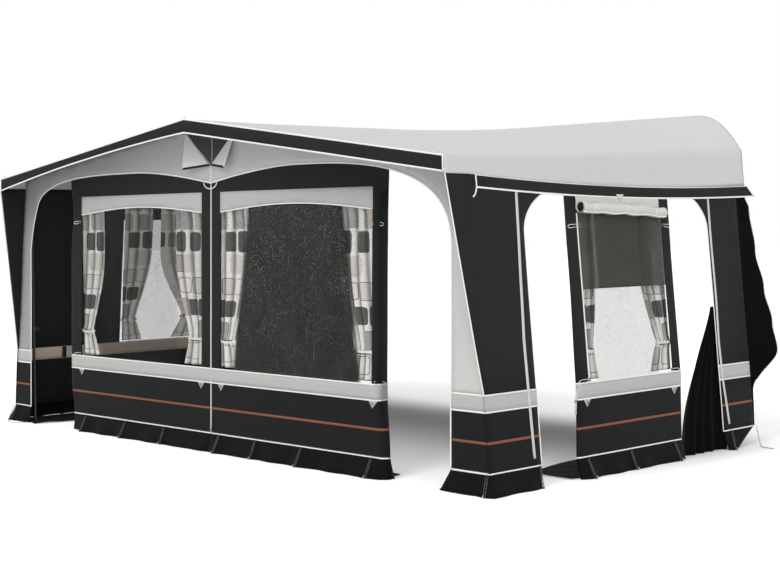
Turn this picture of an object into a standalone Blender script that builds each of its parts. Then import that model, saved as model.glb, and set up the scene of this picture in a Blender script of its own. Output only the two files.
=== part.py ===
"""Full-length caravan awning: a cloth house hung from the caravan's rail on a steel pole frame.

Metres, +Z up, +X along the caravan, +Y from the front wall towards the caravan. The origin is on the
ground under the centre front upright. Wall outlines are written as (distance along the wall, height).
"""

import math

import bmesh
import bpy
from mathutils import Matrix, Vector

# Ground plan and heights
HALF_BASE = 2.78
DEPTH = 3.15
CANOPY_REACH = 0.21
POLE_SETBACK = 0.06
PEAK_HEIGHT = 2.464
CORNER_HEIGHT = 2.10
RAIL_HEIGHT = 2.52
RAIL_SHOULDER_RUN = 0.3868
RAIL_SHOULDER_DROP = 0.30
SIDE_LEAN_SHARE = 0.092
FRONT_LEAN_SHARE = 0.016
EAVE_HALF = HALF_BASE - SIDE_LEAN_SHARE * CORNER_HEIGHT
ROOF_PITCH = (PEAK_HEIGHT - CORNER_HEIGHT) / EAVE_HALF
ROOF_LENGTH = DEPTH + CANOPY_REACH
RAIL_FLAT_HALF = EAVE_HALF - RAIL_SHOULDER_RUN

# Cloth
CLOTH = 0.002
FILM = 0.0008
GAP = 0.0003
DROP_STAND_OFF = 0.006
GROUND_CLEARANCE = 0.004
HEM_HEIGHT = 0.139
BAND_TOP = 0.622
INNER_LAYER = -(CLOTH + GAP)

# Roof edges
FASCIA_TALL = 0.097
FASCIA_SHORT = 0.062
SIDE_DROP_DEPTH = 0.11
SIDE_DROP_HEIGHT = CORNER_HEIGHT - SIDE_DROP_DEPTH
SIDE_DROP_SAG = 0.058
VALANCE_HEIGHT = 0.076
VALANCE_START = 0.07
VALANCE_FLARE = 0.022
EYELET_CLEARANCE = 0.0006
BEAD_RADIUS = 0.004

# Front wall: the arch hangs below the peak, and the panels and the vent follow the arch
LEG_WIDTH = 0.31
LEG_INNER = HALF_BASE - LEG_WIDTH
ARCH_SPRING_DROP = 0.60
ARCH_SPRING = CORNER_HEIGHT - ARCH_SPRING_DROP
ARCH_TOP_OFFSET = 0.95
ARCH_ROOM = 0.2203
ARCH_TOP = PEAK_HEIGHT - ROOF_PITCH * ARCH_TOP_OFFSET - ARCH_ROOM
ARCH_DIP = 0.106
ARCH_CENTRE = ARCH_TOP - ARCH_DIP
ARCH_ROUNDNESS = 2.8
ARCH_DIP_ROUNDNESS = 1.6
FRONT_DOOR_WIDTH = 0.59
PANEL_HALF_SPAN = LEG_INNER - FRONT_DOOR_WIDTH
PANEL_TUCK = 0.035
STILE_WIDTH = 0.16
WINDOW_INNER = 0.115
WINDOW_OUTER = PANEL_HALF_SPAN - STILE_WIDTH
WINDOW_TOP_DROP = 0.218
WINDOW_TOP = ARCH_CENTRE - WINDOW_TOP_DROP
WINDOW_CROWN = 0.052
VENT_HALF_WIDTH = 0.30
VENT_TOP_DROP = 0.104
VENT_TOP = PEAK_HEIGHT - VENT_TOP_DROP
VENT_RISE = 0.136
VENT_BOTTOM = ARCH_CENTRE + VENT_RISE
VENT_HOOD = 0.055

# Side walls, distances from the front wall; the rear runs are measured back from the caravan
HEADER_DROP = 0.04
HEADER_TOP = CORNER_HEIGHT - HEADER_DROP
RETURN_RUN = 0.12
WALL_END = DEPTH - RETURN_RUN
REAR_RUN = 0.42
DOOR_FRONT = 0.505
DOOR_REAR = WALL_END - REAR_RUN
DOOR_ARCH_WIDTH = 0.45
DOOR_SPRING_DROP = 0.48
DOOR_ARCH_SPRING = CORNER_HEIGHT - DOOR_SPRING_DROP
DOOR_ARCH_HEIGHT = 0.31
WING_FOOT_HEIGHT = BAND_TOP
FRONT_DOORWAY = 0.375
REAR_DOORWAY = 0.49
SIDE_PANEL_FRONT = DOOR_FRONT + FRONT_DOORWAY
SIDE_PANEL_REAR = DOOR_REAR - REAR_DOORWAY
SIDE_PANEL_FOOT_SHIFT = 0.05
SIDE_STILE_FRONT = 0.18
SIDE_STILE_REAR = 0.10
SIDE_WINDOW_FRONT = SIDE_PANEL_FRONT + SIDE_STILE_FRONT
SIDE_WINDOW_REAR = SIDE_PANEL_REAR - SIDE_STILE_REAR
SIDE_WINDOW_DROP = 0.35
SIDE_WINDOW_TOP = CORNER_HEIGHT - SIDE_WINDOW_DROP
SCREEN_HEIGHT = 0.51
SCREEN_BOTTOM = SIDE_WINDOW_TOP - SCREEN_HEIGHT
BLIND_RADIUS = 0.042
BLIND_PITCH = 0.008
BLIND_TURNS = 2.25
BLIND_FLAP = 0.115
BLIND_TOP = SIDE_WINDOW_TOP + BLIND_FLAP
BLIND_OVERLAP = 0.03
DRAPE_TOP = 1.06
DRAPE_FOOT = 0.56

# Curtains, hooked above the windows and ending just above the waist band
CURTAIN_HEADING = 0.074
CURTAIN_TOP = WINDOW_TOP + CURTAIN_HEADING
SIDE_CURTAIN_TOP = SIDE_WINDOW_TOP + BLIND_FLAP - GAP
CURTAIN_CLEARANCE = 0.018
CURTAIN_BOTTOM = BAND_TOP + CURTAIN_CLEARANCE
CURTAIN_TIE_RISE = 0.16
CURTAIN_TIE_HEIGHT = CURTAIN_BOTTOM + CURTAIN_TIE_RISE
CURTAIN_WIDTH = 0.31
CURTAIN_TIE_WIDTH = 0.115
CURTAIN_FOOT_WIDTH = 0.17
CURTAIN_FOLD_DEPTH = 0.024
CURTAIN_CLOTH = 0.0014
CURTAIN_FOLDS = 5
CURTAIN_EDGE_INSET = 0.008

# Skirts, ladders and pegs
SKIRT_SPLAY = 0.045
SKIRT_RIPPLE = 0.006
RIPPLE_LENGTH = 0.32
LADDER_WIDTH = 0.020
LADDER_THICKNESS = 0.004
LADDER_RUNG = 0.012
LADDER_RAIL = 0.0045
LADDER_STEPS = 3
LADDER_REACH = 0.055
LADDER_INSET = 0.05
PEG_RADIUS = 0.003
PEG_SHAFT = 0.055
PEG_HOOK = 0.018
PEG_OVERLAP = 0.004

# Steel frame
POLE_RADIUS = 0.0125
TUBE_WALL = 0.0012
SLIDE_CLEARANCE = 0.0003
LEG_RADIUS = POLE_RADIUS - TUBE_WALL - SLIDE_CLEARANCE
CORNER_POLE_INSET = 0.0368
CORNER_POLE_OFFSET = EAVE_HALF - CORNER_POLE_INSET
SLEEVE_BOTTOM = 0.78
LEG_TOP = 1.15
REAR_UPRIGHT_CLEARANCE = 0.13
REAR_UPRIGHT_DISTANCE = DEPTH - REAR_UPRIGHT_CLEARANCE
RAIL_CLEARANCE = 0.03
TAIL_END = DEPTH - RAIL_CLEARANCE
TAIL_SHOWN = 0.57
ROOF_POLE_END = TAIL_END - TAIL_SHOWN
TAIL_INSERT = 0.32
ROOF_POLE_DROP = 0.0185
PIN_RADIUS = 0.004
PIN_RISE = 0.022
PIN_SET_BACK = 0.012
HOOK_HEIGHT = 0.030
COLLAR_RADIUS = 0.019
COLLAR_HEIGHT = 0.045
BOSS_RADIUS = 0.010
BOSS_REACH = 0.030
STUD_RADIUS = 0.004
KNOB_RADIUS = 0.019
KNOB_THICKNESS = 0.012
KNOB_LOBES = 5
KNOB_LOBE_SHARE = 0.22
FOOT_RADIUS = 0.045
FOOT_PLATE = 0.006
FOOT_SOCKET_RADIUS = 0.018
FOOT_SOCKET_HEIGHT = 0.040
SLIDER_WIDTH = 0.012
SLIDER_LENGTH = 0.026
SLIDER_THICKNESS = 0.005
PULL_LENGTH = 0.045
PULL_THICKNESS = 0.002


def new_collection(name):
    collection = bpy.data.collections.new(name)
    bpy.context.scene.collection.children.link(collection)
    return collection


for old in list(bpy.data.objects):
    bpy.data.objects.remove(old, do_unlink=True)
AWNING = new_collection("caravan_awning")
HELPERS = new_collection("helpers")
HELPERS.hide_render = True


def material(name, colour, roughness, metallic=0.0):
    made = bpy.data.materials.get(name)
    if made is None:
        made = bpy.data.materials.new(name)
        made.use_nodes = True
        shader = made.node_tree.nodes["Principled BSDF"]
        shader.inputs["Base Color"].default_value = (*colour, 1.0)
        shader.inputs["Roughness"].default_value = roughness
        shader.inputs["Metallic"].default_value = metallic
    return made


def grey_cloth():
    return material("grey_cloth", (0.58, 0.58, 0.57), 0.75)


def roof_cloth():
    return material("roof_cloth", (0.66, 0.66, 0.66), 0.6)


def black_cloth():
    return material("black_cloth", (0.03, 0.032, 0.032), 0.8)


def skirt_cloth():
    return material("skirt_cloth", (0.02, 0.02, 0.02), 0.5)


def curtain_cloth():
    return material("curtain_cloth", (0.62, 0.58, 0.54), 0.85)


def clear_film():
    return material("clear_film", (0.7, 0.72, 0.72), 0.08)


def dark_mesh():
    return material("dark_mesh", (0.06, 0.06, 0.055), 0.7)


def steel():
    return material("steel", (0.6, 0.61, 0.62), 0.35, 1.0)


def plastic():
    return material("plastic", (0.04, 0.04, 0.045), 0.5)


def white_cord():
    return material("white_cord", (0.8, 0.8, 0.8), 0.5)


def place(obj, finish, collection=None):
    (collection or AWNING).objects.link(obj)
    obj.data.materials.append(finish)
    return obj


def as_mesh(obj):
    """A curve made a welded mesh object of the same name, in the same place."""
    bpy.context.view_layer.update()
    graph = bpy.context.evaluated_depsgraph_get()
    mesh = bpy.data.meshes.new_from_object(obj.evaluated_get(graph))
    shape = bmesh.new()
    shape.from_mesh(mesh)
    bmesh.ops.remove_doubles(shape, verts=shape.verts, dist=GAP / 100)
    shape.to_mesh(mesh)
    shape.free()
    name, world, home = obj.name, obj.matrix_world.copy(), obj.users_collection[0]
    bpy.data.objects.remove(obj, do_unlink=True)
    made = bpy.data.objects.new(name, mesh)
    made.matrix_world = world
    home.objects.link(made)
    return made


def as_helper(obj):
    """Puts an object among the helpers, which are cut from or joined to a piece and are not pieces."""
    for home in list(obj.users_collection):
        home.objects.unlink(obj)
    HELPERS.objects.link(obj)
    obj.hide_render = True
    obj.display_type = "WIRE"
    return obj


def combine(base, tool, operation):
    modifier = base.modifiers.new(operation.lower() + "_" + tool.name, "BOOLEAN")
    modifier.operation = operation
    modifier.object = as_helper(tool)


def mirrored(obj, name):
    """The same piece on the other side of the centre line."""
    bpy.context.view_layer.update()
    graph = bpy.context.evaluated_depsgraph_get()
    mesh = bpy.data.meshes.new_from_object(obj.evaluated_get(graph))
    mesh.transform(Matrix.Scale(-1, 4, Vector((1, 0, 0))) @ obj.matrix_world)
    mesh.flip_normals()
    mesh.name = name
    made = bpy.data.objects.new(name, mesh)
    AWNING.objects.link(made)
    return made


def wall_frame(origin, along, lean_share, outward):
    """A wall's own axes: along it, up its slope, and out of it, and how much longer its slope is."""
    inward = Vector(outward) * -1
    up = (Vector((0, 0, 1)) + inward * lean_share).normalized()
    along = Vector(along)
    out = along.cross(up)
    frame = Matrix((along, up, out)).transposed().to_4x4()
    frame.translation = Vector(origin)
    return frame, math.sqrt(1 + lean_share**2)


FRONT = wall_frame((0, -POLE_SETBACK, 0), (1, 0, 0), FRONT_LEAN_SHARE, (0, -1, 0))
SIDE = wall_frame((HALF_BASE, -POLE_SETBACK, 0), (0, 1, 0), SIDE_LEAN_SHARE, (1, 0, 0))


def on_wall(wall, along, height, out=0.0):
    """A wall's point in the awning's own axes."""
    frame, stretch = wall
    return frame @ Vector((along, height * stretch, out))


def flat_panel(name, wall, outline, finish, holes=(), layer=0.0, thickness=CLOTH):
    """Cloth cut to an outline, with any holes, lying in a wall's plane."""
    frame, stretch = wall
    curve = bpy.data.curves.new(name, "CURVE")
    curve.dimensions = "2D"
    curve.fill_mode = "BOTH"
    curve.extrude = thickness / 2
    for loop in (outline, *holes):
        spline = curve.splines.new("POLY")
        spline.points.add(len(loop) - 1)
        for point, (along, height) in zip(spline.points, loop):
            point.co = (along, height * stretch, 0, 1)
        spline.use_cyclic_u = True
    obj = bpy.data.objects.new(name, curve)
    obj.matrix_world = frame @ Matrix.Translation((0, 0, layer))
    return place(obj, finish)


def cloth_sheet(name, columns, rows, point, finish, thickness=CLOTH):
    """A curved sheet of cloth: point gives the place for shares of the way across and along it."""
    shape = bmesh.new()
    bmesh.ops.create_grid(shape, x_segments=columns, y_segments=rows, size=1)
    for vertex in shape.verts:
        across, along = (vertex.co.x + 1) / 2, (vertex.co.y + 1) / 2
        vertex.co = point(across, along)
    mesh = bpy.data.meshes.new(name)
    shape.to_mesh(mesh)
    shape.free()
    mesh.shade_smooth()
    obj = bpy.data.objects.new(name, mesh)
    solid = obj.modifiers.new("thickness", "SOLIDIFY")
    solid.thickness = thickness
    solid.offset = 0
    return place(obj, finish)


def turned(name, profile, finish, steps=16):
    """A shape turned about its own Z, from a profile of (radius, height) that runs down its outer side."""
    mesh = bpy.data.meshes.new(name)
    count = len(profile)
    closed = profile[0][0] > 0 and profile[-1][0] > 0
    edges = [(i, i + 1) for i in range(count - 1)] + ([(count - 1, 0)] if closed else [])
    mesh.from_pydata([(radius, 0, height) for radius, height in profile], edges, [])
    obj = bpy.data.objects.new(name, mesh)
    screw = obj.modifiers.new("turn", "SCREW")
    screw.steps = screw.render_steps = steps
    screw.use_merge_vertices = True
    screw.merge_threshold = GAP / 10
    return place(obj, finish)


def aim(obj, start, end):
    """Lays an object's own Z from one point towards another."""
    direction = Vector(end) - Vector(start)
    obj.rotation_mode = "QUATERNION"
    obj.rotation_quaternion = direction.to_track_quat("Z", "Y")
    obj.location = start
    return obj


def tube(name, start, end, radius, wall=TUBE_WALL, finish=None):
    length = (Vector(end) - Vector(start)).length
    bore = radius - wall
    profile = [(radius, length), (radius, 0), (bore, 0), (bore, length)]
    return aim(turned(name, profile, finish or steel()), start, end)


def rod(name, points, radius, finish, sides=2):
    """A bent rod or cord through a list of points."""
    curve = bpy.data.curves.new(name, "CURVE")
    curve.dimensions = "3D"
    curve.bevel_depth = radius
    curve.bevel_resolution = sides
    curve.use_fill_caps = True
    spline = curve.splines.new("POLY")
    spline.points.add(len(points) - 1)
    for point, place_of in zip(spline.points, points):
        point.co = (*place_of, 1)
    return place(bpy.data.objects.new(name, curve), finish)


def block(name, size, centre, finish):
    bpy.ops.mesh.primitive_cube_add(size=1, location=centre)
    obj = bpy.context.active_object
    obj.name = obj.data.name = name
    obj.data.transform(Matrix.Diagonal((*size, 1)))
    for home in list(obj.users_collection):
        home.objects.unlink(obj)
    return place(obj, finish)


def cylinder(name, radius, start, end, finish, sides=12):
    length = (Vector(end) - Vector(start)).length
    shape = bmesh.new()
    bmesh.ops.create_cone(
        shape, cap_ends=True, segments=sides, radius1=radius, radius2=radius, depth=length,
        matrix=Matrix.Translation((0, 0, length / 2)),
    )
    mesh = bpy.data.meshes.new(name)
    shape.to_mesh(mesh)
    shape.free()
    return aim(place(bpy.data.objects.new(name, mesh), finish), start, end)


def ease(value, low, high):
    """0 below low, 1 above high, and a smooth rise between."""
    share = min(max((value - low) / (high - low), 0), 1)
    return share * share * (3 - 2 * share)


# Roof shape, used by every piece that meets the roof


def rail_edge_height(offset):
    """The roof's rear edge follows the caravan's side outline: flat, then round its shoulder."""
    beyond = max(abs(offset) - RAIL_FLAT_HALF, 0) / (EAVE_HALF - RAIL_FLAT_HALF)
    return RAIL_HEIGHT - RAIL_SHOULDER_DROP * beyond**2


def roof_bend(offset):
    """How late the roof rises to the rail: late at the ridge, sooner at the eaves."""
    ridge_bend, eave_bend = 2.8, 1.3
    return ridge_bend + (eave_bend - ridge_bend) * min(abs(offset) / EAVE_HALF, 1)


def roof_height(offset, distance):
    """Height of the cloth's middle: pitched at the front, stretched up to the rail at the back."""
    front = PEAK_HEIGHT - ROOF_PITCH * abs(offset)
    share = min(max((distance + CANOPY_REACH) / ROOF_LENGTH, 0), 1)
    pull = share ** roof_bend(offset)
    return front * (1 - pull) + rail_edge_height(offset) * pull


def crease_point(distance):
    """Where the roof turns down the side, on the side wall's plane moved out by the stand-off."""
    height = CORNER_HEIGHT
    for _ in range(4):
        offset = HALF_BASE - SIDE_LEAN_SHARE * height + DROP_STAND_OFF
        height = roof_height(min(offset, EAVE_HALF), distance)
    return offset, height


def drop_edge_height(distance):
    """Lower edge of the roof's grey side drop, which sags a little between its ends."""
    low_point_share = 0.6
    reach = (distance / DEPTH - low_point_share) / low_point_share
    return SIDE_DROP_HEIGHT - SIDE_DROP_SAG * max(1 - reach**2, 0)


def side_offset(height, out=0.0):
    return HALF_BASE - SIDE_LEAN_SHARE * height + out


def roof_canopy():
    drop_columns_share = 0.10

    def point(across, along):
        distance = -CANOPY_REACH + ROOF_LENGTH * along
        crease, crease_height = crease_point(distance)
        side = 1 if across > 0.5 else -1
        outer = abs(across - 0.5) * 2
        if outer <= 1 - drop_columns_share:
            offset = crease * outer / (1 - drop_columns_share)
            height = roof_height(offset, distance)
        else:
            down = (outer - 1 + drop_columns_share) / drop_columns_share
            height = crease_height + (drop_edge_height(distance) - crease_height) * down
            offset = side_offset(height, DROP_STAND_OFF)
        return Vector((side * offset, distance - POLE_SETBACK, height))

    roof = cloth_sheet("roof_canopy", 20, 14, point, roof_cloth())
    for number, offset in enumerate(roof_pole_offsets()):
        tip = pin_tip(offset)
        hole = cylinder(
            f"eyelet_{number}", PIN_RADIUS + EYELET_CLEARANCE,
            tip - Vector((0, 0, PIN_RISE * 2)), tip + Vector((0, 0, PIN_RISE)), steel(),
        )
        combine(roof, hole, "DIFFERENCE")
    return roof


def fascia_height(offset):
    """The black front fascia is deepest at the peak and the corners."""
    share = abs(2 * abs(offset) / EAVE_HALF - 1)
    return FASCIA_SHORT + (FASCIA_TALL - FASCIA_SHORT) * share**2


def front_fascia():
    lean_out = CLOTH / 2 + GAP * 2

    def point(across, along):
        offset = EAVE_HALF * (across * 2 - 1)
        top = roof_height(offset, -CANOPY_REACH) + CLOTH / 2
        height = top - fascia_height(offset) * along
        return Vector((offset, -POLE_SETBACK - CANOPY_REACH - lean_out, height))

    return cloth_sheet("front_fascia", 20, 1, point, black_cloth())


def side_valance():
    """Black valance that hangs from the grey side drop, cut to a point at the caravan."""
    tip_reach_share = 0.03
    tip_bend, flare_bend = 8, 6

    def point(across, along):
        distance = VALANCE_START + (DEPTH - VALANCE_START) * across
        top = drop_edge_height(distance) - GAP * 3
        height = top - VALANCE_HEIGHT * along
        beyond = tip_reach_share * DEPTH * across**tip_bend * along
        out = DROP_STAND_OFF + VALANCE_FLARE * across**flare_bend
        return Vector((side_offset(height, out), distance + beyond - POLE_SETBACK, height))

    right = cloth_sheet("side_valance_right", 14, 1, point, black_cloth())
    mirrored(right, "side_valance_left")


def rail_profile():
    """The caravan's outline under the shoulder, as (offset, height), from the roof down to the skirt."""
    nose_shares = (
        (0.940, 0.905), (0.952, 0.850), (0.972, 0.700), (1.000, 0.560),
        (1.026, 0.440), (1.042, 0.340), (1.036, 0.250), (1.010, 0.170), (0.990, 0.056),
    )
    return [(HALF_BASE * across, CORNER_HEIGHT * up) for across, up in nose_shares]


def rail_offset(height):
    """Offset of the rail's side run at a height, between the profile's points."""
    points = rail_profile()
    if height >= points[0][1]:
        return points[0][0]
    for (upper_x, upper_z), (lower_x, lower_z) in zip(points, points[1:]):
        if height >= lower_z:
            share = (height - lower_z) / (upper_z - lower_z)
            share = share * share * (3 - 2 * share)
            return lower_x + (upper_x - lower_x) * share
    return points[-1][0]


def rail_bead():
    """White cord sewn in the rear edge, which slides along the caravan's rail."""
    behind = DEPTH - POLE_SETBACK + BEAD_RADIUS + GAP
    crease, crease_height = crease_point(DEPTH)
    half = []
    top_steps = 10
    for step in range(top_steps + 1):
        offset = crease * math.sin(math.pi / 2 * step / top_steps)
        half.append((offset, roof_height(offset, DEPTH)))
    side_steps = 12
    start, end = crease_height, HEM_HEIGHT
    for step in range(1, side_steps + 1):
        height = start + (end - start) * step / side_steps
        share = ease(height, rail_profile()[1][1], crease_height)
        half.append((rail_offset(height) + (crease - rail_offset(height)) * share, height))
    route = [(-x, behind, z) for x, z in reversed(half[1:])] + [(x, behind, z) for x, z in half]
    rod("rail_bead", route, BEAD_RADIUS, white_cord())


def gable_arch():
    """Lower edge of the front gable, from the right leg's foot to the centre, as (offset, height)."""
    points = [(LEG_INNER, HEM_HEIGHT), (LEG_INNER, ARCH_SPRING)]
    steps = 9
    for step in range(1, steps + 1):
        angle = math.pi / 2 * step / steps
        power = 2 / ARCH_ROUNDNESS
        across = max(math.cos(angle), 0) ** power
        up = math.sin(angle) ** power
        points.append((
            ARCH_TOP_OFFSET + (LEG_INNER - ARCH_TOP_OFFSET) * across,
            ARCH_SPRING + (ARCH_TOP - ARCH_SPRING) * up,
        ))
    inner_steps = 5
    for step in range(1, inner_steps + 1):
        left = step / inner_steps
        rise = 1 - left**ARCH_DIP_ROUNDNESS
        points.append((ARCH_TOP_OFFSET * (1 - left), ARCH_CENTRE + (ARCH_TOP - ARCH_CENTRE) * rise))
    return points


def both_sides(half):
    """An outline closed by its mirror image, for a half that starts and ends at the centre line."""
    return half + [(-x, z) for x, z in reversed(half) if x > GAP]


def front_gable():
    """Light grey front: gable and two legs in one, open below its arched edge, with a vent hole."""
    notch = POLE_RADIUS * 2
    roof_seat = CLOTH / 2 + GAP * 3
    corner_cut = CORNER_POLE_OFFSET - notch
    pole_room = ROOF_POLE_DROP + notch

    def under_roof(offset):
        return roof_height(offset, 0) - roof_seat

    side_gap = CLOTH / 2 + GAP * 2
    corner_top = under_roof(corner_cut) - pole_room
    half = [(x, z) for x, z in reversed(gable_arch())]
    half += [
        (side_offset(HEM_HEIGHT) - side_gap, HEM_HEIGHT),
        (side_offset(corner_top) - side_gap, corner_top),
        (corner_cut, corner_top),
    ]
    top_steps = 9
    for step in range(top_steps + 1):
        offset = corner_cut + (notch - corner_cut) * step / top_steps
        half.append((offset, under_roof(offset)))
    half += [
        (notch, under_roof(notch) - pole_room),
        (0, under_roof(notch) - pole_room),
    ]
    vent = [
        (-VENT_HALF_WIDTH, VENT_TOP - pole_room), (VENT_HALF_WIDTH, VENT_TOP - pole_room),
        (0, VENT_BOTTOM),
    ]
    flat_panel("front_gable", FRONT, both_sides(half), grey_cloth(), holes=[vent])
    mesh_overlap = CLOTH * 4
    net = [
        (-VENT_HALF_WIDTH - mesh_overlap, VENT_TOP - pole_room + mesh_overlap),
        (VENT_HALF_WIDTH + mesh_overlap, VENT_TOP - pole_room + mesh_overlap),
        (0, VENT_BOTTOM - mesh_overlap),
    ]
    flat_panel("gable_vent_net", FRONT, net, dark_mesh(), layer=INNER_LAYER)


def gable_vent_flap():
    """Three-cornered gusset that stands forward of the vent, so that rain stays out."""
    seat = CLOTH + GAP
    top = VENT_TOP - ROOF_POLE_DROP - POLE_RADIUS * 2

    least_share = 0.06

    def point(across, along):
        across = least_share + (1 - least_share) * across
        along = least_share + (1 - least_share) * along
        offset = VENT_HALF_WIDTH * (1 - along * (1 - across))
        height = top + (VENT_BOTTOM - top) * along
        return on_wall(FRONT, offset, height, seat + VENT_HOOD * along * across)

    right = cloth_sheet("gable_vent_flap_right", 4, 6, point, grey_cloth())
    mirrored(right, "gable_vent_flap_left")


def arch_height(offset):
    """Height of the gable's lower edge at an offset."""
    points = gable_arch()
    for (outer_x, outer_z), (inner_x, inner_z) in zip(points[1:], points[2:]):
        if inner_x <= offset <= outer_x:
            share = (offset - inner_x) / (outer_x - inner_x)
            return inner_z + (outer_z - inner_z) * share
    return ARCH_TOP


def window_top(along, inner, outer, crown=WINDOW_CROWN, top=WINDOW_TOP):
    share = (along - inner) / (outer - inner)
    return top + crown * math.sin(math.pi * share)


def front_panel():
    """Zipped front panel: black cloth round a clear window, tucked behind the gable's arch."""
    steps = 8
    centre_gap = GAP
    top_edge = []
    for step in range(steps + 1):
        along = PANEL_HALF_SPAN + (centre_gap - PANEL_HALF_SPAN) * step / steps
        top_edge.append((along, arch_height(max(along, GAP)) + PANEL_TUCK))
    outline = [(centre_gap, HEM_HEIGHT), (PANEL_HALF_SPAN, HEM_HEIGHT)] + top_edge
    hole = [(WINDOW_INNER, BAND_TOP), (WINDOW_OUTER, BAND_TOP)]
    film = [(WINDOW_INNER + GAP, BAND_TOP + GAP), (WINDOW_OUTER - GAP, BAND_TOP + GAP)]
    for step in range(steps + 1):
        along = WINDOW_OUTER + (WINDOW_INNER - WINDOW_OUTER) * step / steps
        height = window_top(along, WINDOW_INNER, WINDOW_OUTER)
        hole.append((along, height))
        edge = min(max(along, WINDOW_INNER + GAP), WINDOW_OUTER - GAP)
        film.append((edge, height - GAP))
    right = flat_panel("front_panel_right", FRONT, outline, black_cloth(), [hole], INNER_LAYER)
    mirrored(right, "front_panel_left")
    clear = flat_panel("front_film_right", FRONT, film, clear_film(), (), INNER_LAYER, FILM)
    mirrored(clear, "front_film_left")


def curtain(name, wall, edge, direction, width, phase_share, head=CURTAIN_TOP):
    """Gathered curtain: flat at its hooks, in deep folds below, drawn in at its tie-back."""
    seat = INNER_LAYER - CLOTH / 2 - GAP - CURTAIN_CLOTH / 2
    fall_bend, heading_share, least_fold_share = 0.8, 0.25, 0.25

    def spread(height):
        if height > CURTAIN_TIE_HEIGHT:
            fall = (height - CURTAIN_TIE_HEIGHT) / (head - CURTAIN_TIE_HEIGHT)
            tie = width * CURTAIN_TIE_WIDTH / CURTAIN_WIDTH
            return tie + (width - tie) * math.sin(math.pi / 2 * fall) ** fall_bend
        fall = (CURTAIN_TIE_HEIGHT - height) / (CURTAIN_TIE_HEIGHT - CURTAIN_BOTTOM)
        tie, foot = (width * size / CURTAIN_WIDTH for size in (CURTAIN_TIE_WIDTH, CURTAIN_FOOT_WIDTH))
        return tie + (foot - tie) * fall

    def point(across, along):
        height = head + (CURTAIN_BOTTOM - head) * along
        offset = edge + direction * spread(height) * across
        wave = (1 - math.cos(2 * math.pi * (CURTAIN_FOLDS * across + phase_share * along))) / 2
        fold = least_fold_share + (1 - least_fold_share) * wave
        return on_wall(wall, offset, height, seat - CURTAIN_FOLD_DEPTH * ease(along, 0, heading_share) * fold)

    return cloth_sheet(name, CURTAIN_FOLDS * 5, 6, point, curtain_cloth(), CURTAIN_CLOTH)


def front_curtains():
    inner, outer = WINDOW_INNER + CURTAIN_EDGE_INSET, WINDOW_OUTER - CURTAIN_EDGE_INSET
    curtain("front_curtain_1", FRONT, -outer, 1, CURTAIN_WIDTH, 0.3)
    curtain("front_curtain_2", FRONT, -inner, -1, CURTAIN_WIDTH, 0.5)
    curtain("front_curtain_3", FRONT, inner, 1, CURTAIN_WIDTH, 0.2)
    curtain("front_curtain_4", FRONT, outer, -1, CURTAIN_WIDTH, 0.4)


def door_arch(edge, direction, steps=6):
    """The side opening's rounded upper corner, from its spring line up to its crown."""
    return [
        (
            edge + direction * DOOR_ARCH_WIDTH * (1 - math.cos(math.pi / 2 * step / steps)),
            DOOR_ARCH_SPRING + DOOR_ARCH_HEIGHT * math.sin(math.pi / 2 * step / steps),
        )
        for step in range(steps + 1)
    ]


def side_wall():
    """Side wall in one piece: corner with its forward wing, header, and the run to the caravan."""
    outline = [(0, HEM_HEIGHT), (DOOR_FRONT, HEM_HEIGHT)]
    outline += door_arch(DOOR_FRONT, 1)
    outline += list(reversed(door_arch(DOOR_REAR, -1)))
    outline += [
        (DOOR_REAR, HEM_HEIGHT), (WALL_END, HEM_HEIGHT), (WALL_END, HEADER_TOP),
        (-CANOPY_REACH + CLOTH, HEADER_TOP), (-CANOPY_REACH + CLOTH, CORNER_HEIGHT - FASCIA_TALL),
        (0, WING_FOOT_HEIGHT),
    ]
    right = flat_panel("side_wall_right", SIDE, outline, black_cloth())
    mirrored(right, "side_wall_left")


def rear_return():
    """Rear strip of the side wall, pulled from the wall's plane out to the caravan's rail."""
    def point(across, along):
        height = HEADER_TOP + (HEM_HEIGHT - HEADER_TOP) * along
        start = on_wall(SIDE, WALL_END + CLOTH / 2 + GAP, height)
        tuck = drop_edge_height(DEPTH) - VALANCE_HEIGHT
        inside = ease(height, tuck - VALANCE_HEIGHT, tuck)
        out = rail_offset(height) * (1 - inside) + side_offset(height) * inside
        return start.lerp(Vector((out, DEPTH - POLE_SETBACK - CLOTH, height)), across)

    right = cloth_sheet("rear_return_right", 3, 12, point, black_cloth())
    mirrored(right, "rear_return_left")


def side_window_hole(inset=0.0):
    return [
        (SIDE_WINDOW_FRONT + inset, BAND_TOP + inset), (SIDE_WINDOW_REAR - inset, BAND_TOP + inset),
        (SIDE_WINDOW_REAR - inset, SIDE_WINDOW_TOP - inset),
        (SIDE_WINDOW_FRONT + inset, SIDE_WINDOW_TOP - inset),
    ]


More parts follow.
